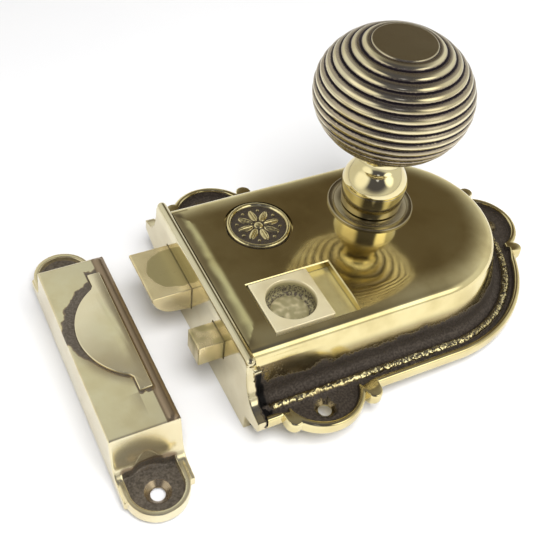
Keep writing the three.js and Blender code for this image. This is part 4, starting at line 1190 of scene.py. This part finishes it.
def crescent_shadow_and_tarnish(x, y):
    """Round the half-moon: a thin painted shadow line along its edge, widening by its far half into ragged
    tarnish that polishing missed, with a faint stain round it.
    """
    centre_x, centre_y = CRESCENT_CENTRE
    beyond = math.hypot(x - centre_x, y - centre_y) - CRESCENT_RADIUS
    angle = math.degrees(math.atan2(y - centre_y, centre_x - x))
    width = 0.35 + 3.6 * smoothstep(-30, 8, angle) + 1.1 * smoothstep(-30, 0, angle) * rough(x, y, 4, 2.4)
    width += 0.5 * smoothstep(-30, 0, angle) * rough(x, y, 8, 0.9)
    if x > CRESCENT_X[1] - 4.6:
        past_tab = max(y - CRESCENT_Y[1], CRESCENT_Y[0] - y)
        reach_past = (2.6 if y > centre_y else 0.8) + 1.2 * rough(x, y, 2, 1.5)
        return 0.85 * smoothstep(0.4, -0.3, past_tab - reach_past) if x < CRESCENT_X[1] - 0.5 else 0.5
    if y > CRESCENT_Y[1] + 2.4:
        return 0.0
    if y < CRESCENT_Y[0]:
        near_tab = smoothstep(CRESCENT_Y[0] - 13, CRESCENT_Y[0] - 2, y)
        return 0.34 * near_tab * smoothstep(KEEP_X[0] + 8, KEEP_X[1] - 4, x)
    stain = 0.30 * smoothstep(5.5, 0.0, beyond)
    return max(0.95 * smoothstep(0.35, -0.35, beyond - width), stain)


def build_crescent():
    plate = prism(CRESCENT_POINTS, *CRESCENT_Z)
    round_edges(plate, 0.3)
    finish_piece(
        plate, "half_moon_plate", "keep", keep_brass, "keep_crescent",
        lambda x, y, z: 0.0, 35
    )


# ---------------------------------------------------------------- CAD pieces that stay as they are


def dress_cad_pieces():
    """Gives the carried-over CAD pieces their metals."""
    brass_parts = (
        "back_plate",
        "slide_cover_plate",
        "follower",
        "latch_spring_stop",
        "latch_bar_staple",
        "click_spring_post",
    )
    corners = ("front_near", "front_far", "tail_near", "tail_far")
    steel_parts = ("spindle", "knob_grub_screw", *[f"back_plate_screw_{corner}" for corner in corners])
    rivets = [f"fore_end_rivet_{place}" for place in ("near", "middle", "far")]
    groups = (
        (brass_parts, hidden_brass),
        (steel_parts, plain_steel),
        (("latch_spring", "click_spring"), spring_steel),
        (rivets, polished_brass),
    )
    for names, material in groups:
        for name in names:
            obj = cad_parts[name]
            obj.data.materials.clear()
            obj.data.materials.append(material)


# ---------------------------------------------------------------- studio

CAMERA_AZIMUTH = math.radians(-31.53)
CAMERA_ELEVATION = math.radians(46.40)
CAMERA_ROLL = math.radians(7.56)
CAMERA_PLACE = (-86.14, -188.06, 244.00)
CAMERA_LENS = 60.08


def build_camera():
    back = Vector((
        math.sin(CAMERA_AZIMUTH) * math.cos(CAMERA_ELEVATION),
        -math.cos(CAMERA_AZIMUTH) * math.cos(CAMERA_ELEVATION),
        math.sin(CAMERA_ELEVATION),
    ))
    right = (-back).cross(Vector((0, 0, 1))).normalized()
    up = right.cross(-back)
    turned_right = math.cos(CAMERA_ROLL) * right + math.sin(CAMERA_ROLL) * up
    turned_up = math.cos(CAMERA_ROLL) * up - math.sin(CAMERA_ROLL) * right
    data = bpy.data.cameras.new("camera")
    data.lens = CAMERA_LENS
    data.sensor_width = 36
    data.clip_start = 0.01
    data.clip_end = 20
    camera = bpy.data.objects.new("camera", data)
    basis = Matrix((turned_right, turned_up, back)).transposed()
    camera.matrix_world = Matrix.Translation(frame_point(*CAMERA_PLACE)) @ basis.to_4x4()
    bpy.context.scene.collection.objects.link(camera)
    bpy.context.scene.camera = camera


def build_floor():
    """A pale tabletop. The lock rests on its lip and its tail, so the table slopes in the lock's frame."""
    slope = -PLATE_Z[0] / span("case")[0][1]
    drop = 0.15
    size = 1500.0
    corners = [(-size, -size), (size, -size), (size, size), (-size, size)]
    points = [(x, y, PLATE_Z[0] - drop + slope * x) for x, y in corners]
    floor = new_object("floor", points, [(0, 1, 2, 3)])
    material, g = new_material("tabletop")
    place = g.node("ShaderNodeTexCoord").outputs["Object"]
    tone = g.mix(g.noise(place, 60, 3.0), (0.80, 0.80, 0.81, 1), (0.84, 0.835, 0.83, 1))
    shader = g.node("ShaderNodeBsdfPrincipled", Roughness=0.55)
    g.feed(shader, "Base Color", tone)
    g.show(shader, "ShaderNodeOutputMaterial")
    floor.data.materials.append(material)


def toward(azimuth, elevation):
    """A direction from degrees: azimuth from +Y towards +X, elevation above the table."""
    a, e = math.radians(azimuth), math.radians(elevation)
    return Vector((math.sin(a) * math.cos(e), math.cos(a) * math.cos(e), math.sin(e)))


def build_world():
    """The room the brass reflects: mostly pale, dark beyond the lock and behind the camera, with windows."""
    world = bpy.data.worlds.new("studio")
    bpy.context.scene.world = world
    world.use_nodes = True
    g = Graph(world.node_tree)
    direction = g.node("ShaderNodeTexCoord").outputs["Generated"]

    def patch(below, middle_direction, full, faded, colour):
        """A soft round patch of colour: full inside one angle from its middle, gone outside another."""
        facing = g.node("ShaderNodeVectorMath", {"operation": "DOT_PRODUCT"})
        g.tree.links.new(direction, facing.inputs[0])
        facing.inputs[1].default_value = middle_direction
        edge, core = math.cos(math.radians(faded)), math.cos(math.radians(full))
        return g.mix(g.ramp(facing.outputs["Value"], edge, core), below, colour)

    colour = patch((0.82, 0.82, 0.80, 1), toward(70, 82), 14, 46, (0.22, 0.205, 0.19, 1))
    colour = patch(colour, toward(211.5, 52), 34, 60, (0.10, 0.10, 0.135, 1))
    colour = patch(colour, toward(272, 28), 14, 34, (1.3, 1.3, 1.27, 1))
    colour = patch(colour, toward(150, 34), 9, 22, (1.9, 1.9, 1.8, 1))
    colour = patch(colour, toward(204, 44), 3, 7, (0.85, 0.90, 1.25, 1))
    colour = patch(colour, toward(36, 38), 4, 27, (0.12, 0.095, 0.062, 1))
    colour = patch(colour, toward(12, 52), 3, 10, (0.64, 0.67, 0.60, 1))
    background = g.node("ShaderNodeBackground", Color=colour, Strength=1.0)
    g.show(background, "ShaderNodeOutputWorld")


def area_light(name, place, target, size, power, tint=(1, 1, 1)):
    data = bpy.data.lights.new(name, "AREA")
    data.shape = "RECTANGLE"
    data.size, data.size_y = size[0] * MM, size[1] * MM
    data.energy = power
    data.color = tint
    light = bpy.data.objects.new(name, data)
    start, end = frame_point(*place), frame_point(*target)
    light.visible_glossy = False
    aim = (end - start).to_track_quat("-Z", "Y").to_matrix().to_4x4()
    light.matrix_world = Matrix.Translation(start) @ aim
    bpy.context.scene.collection.objects.link(light)


def build_lights():
    middle_of_case = (50, 0, 10)
    area_light("key", (-20, -260, 600), middle_of_case, (400, 400), 5.0)
    area_light("side", (520, -160, 360), middle_of_case, (300, 300), 0.8, (0.95, 0.97, 1.0))


build_case()
build_fore_end()
build_medallion()
build_bush()
build_knob_ball()
build_knob_shank()
build_latch_bolt()
build_night_bolt()
build_thumb_slide()
build_slide_rivet()
build_keep()
build_crescent()
dress_cad_pieces()
build_camera()
build_floor()
build_world()
build_lights()
bpy.context.scene.view_settings.view_transform = "Standard"
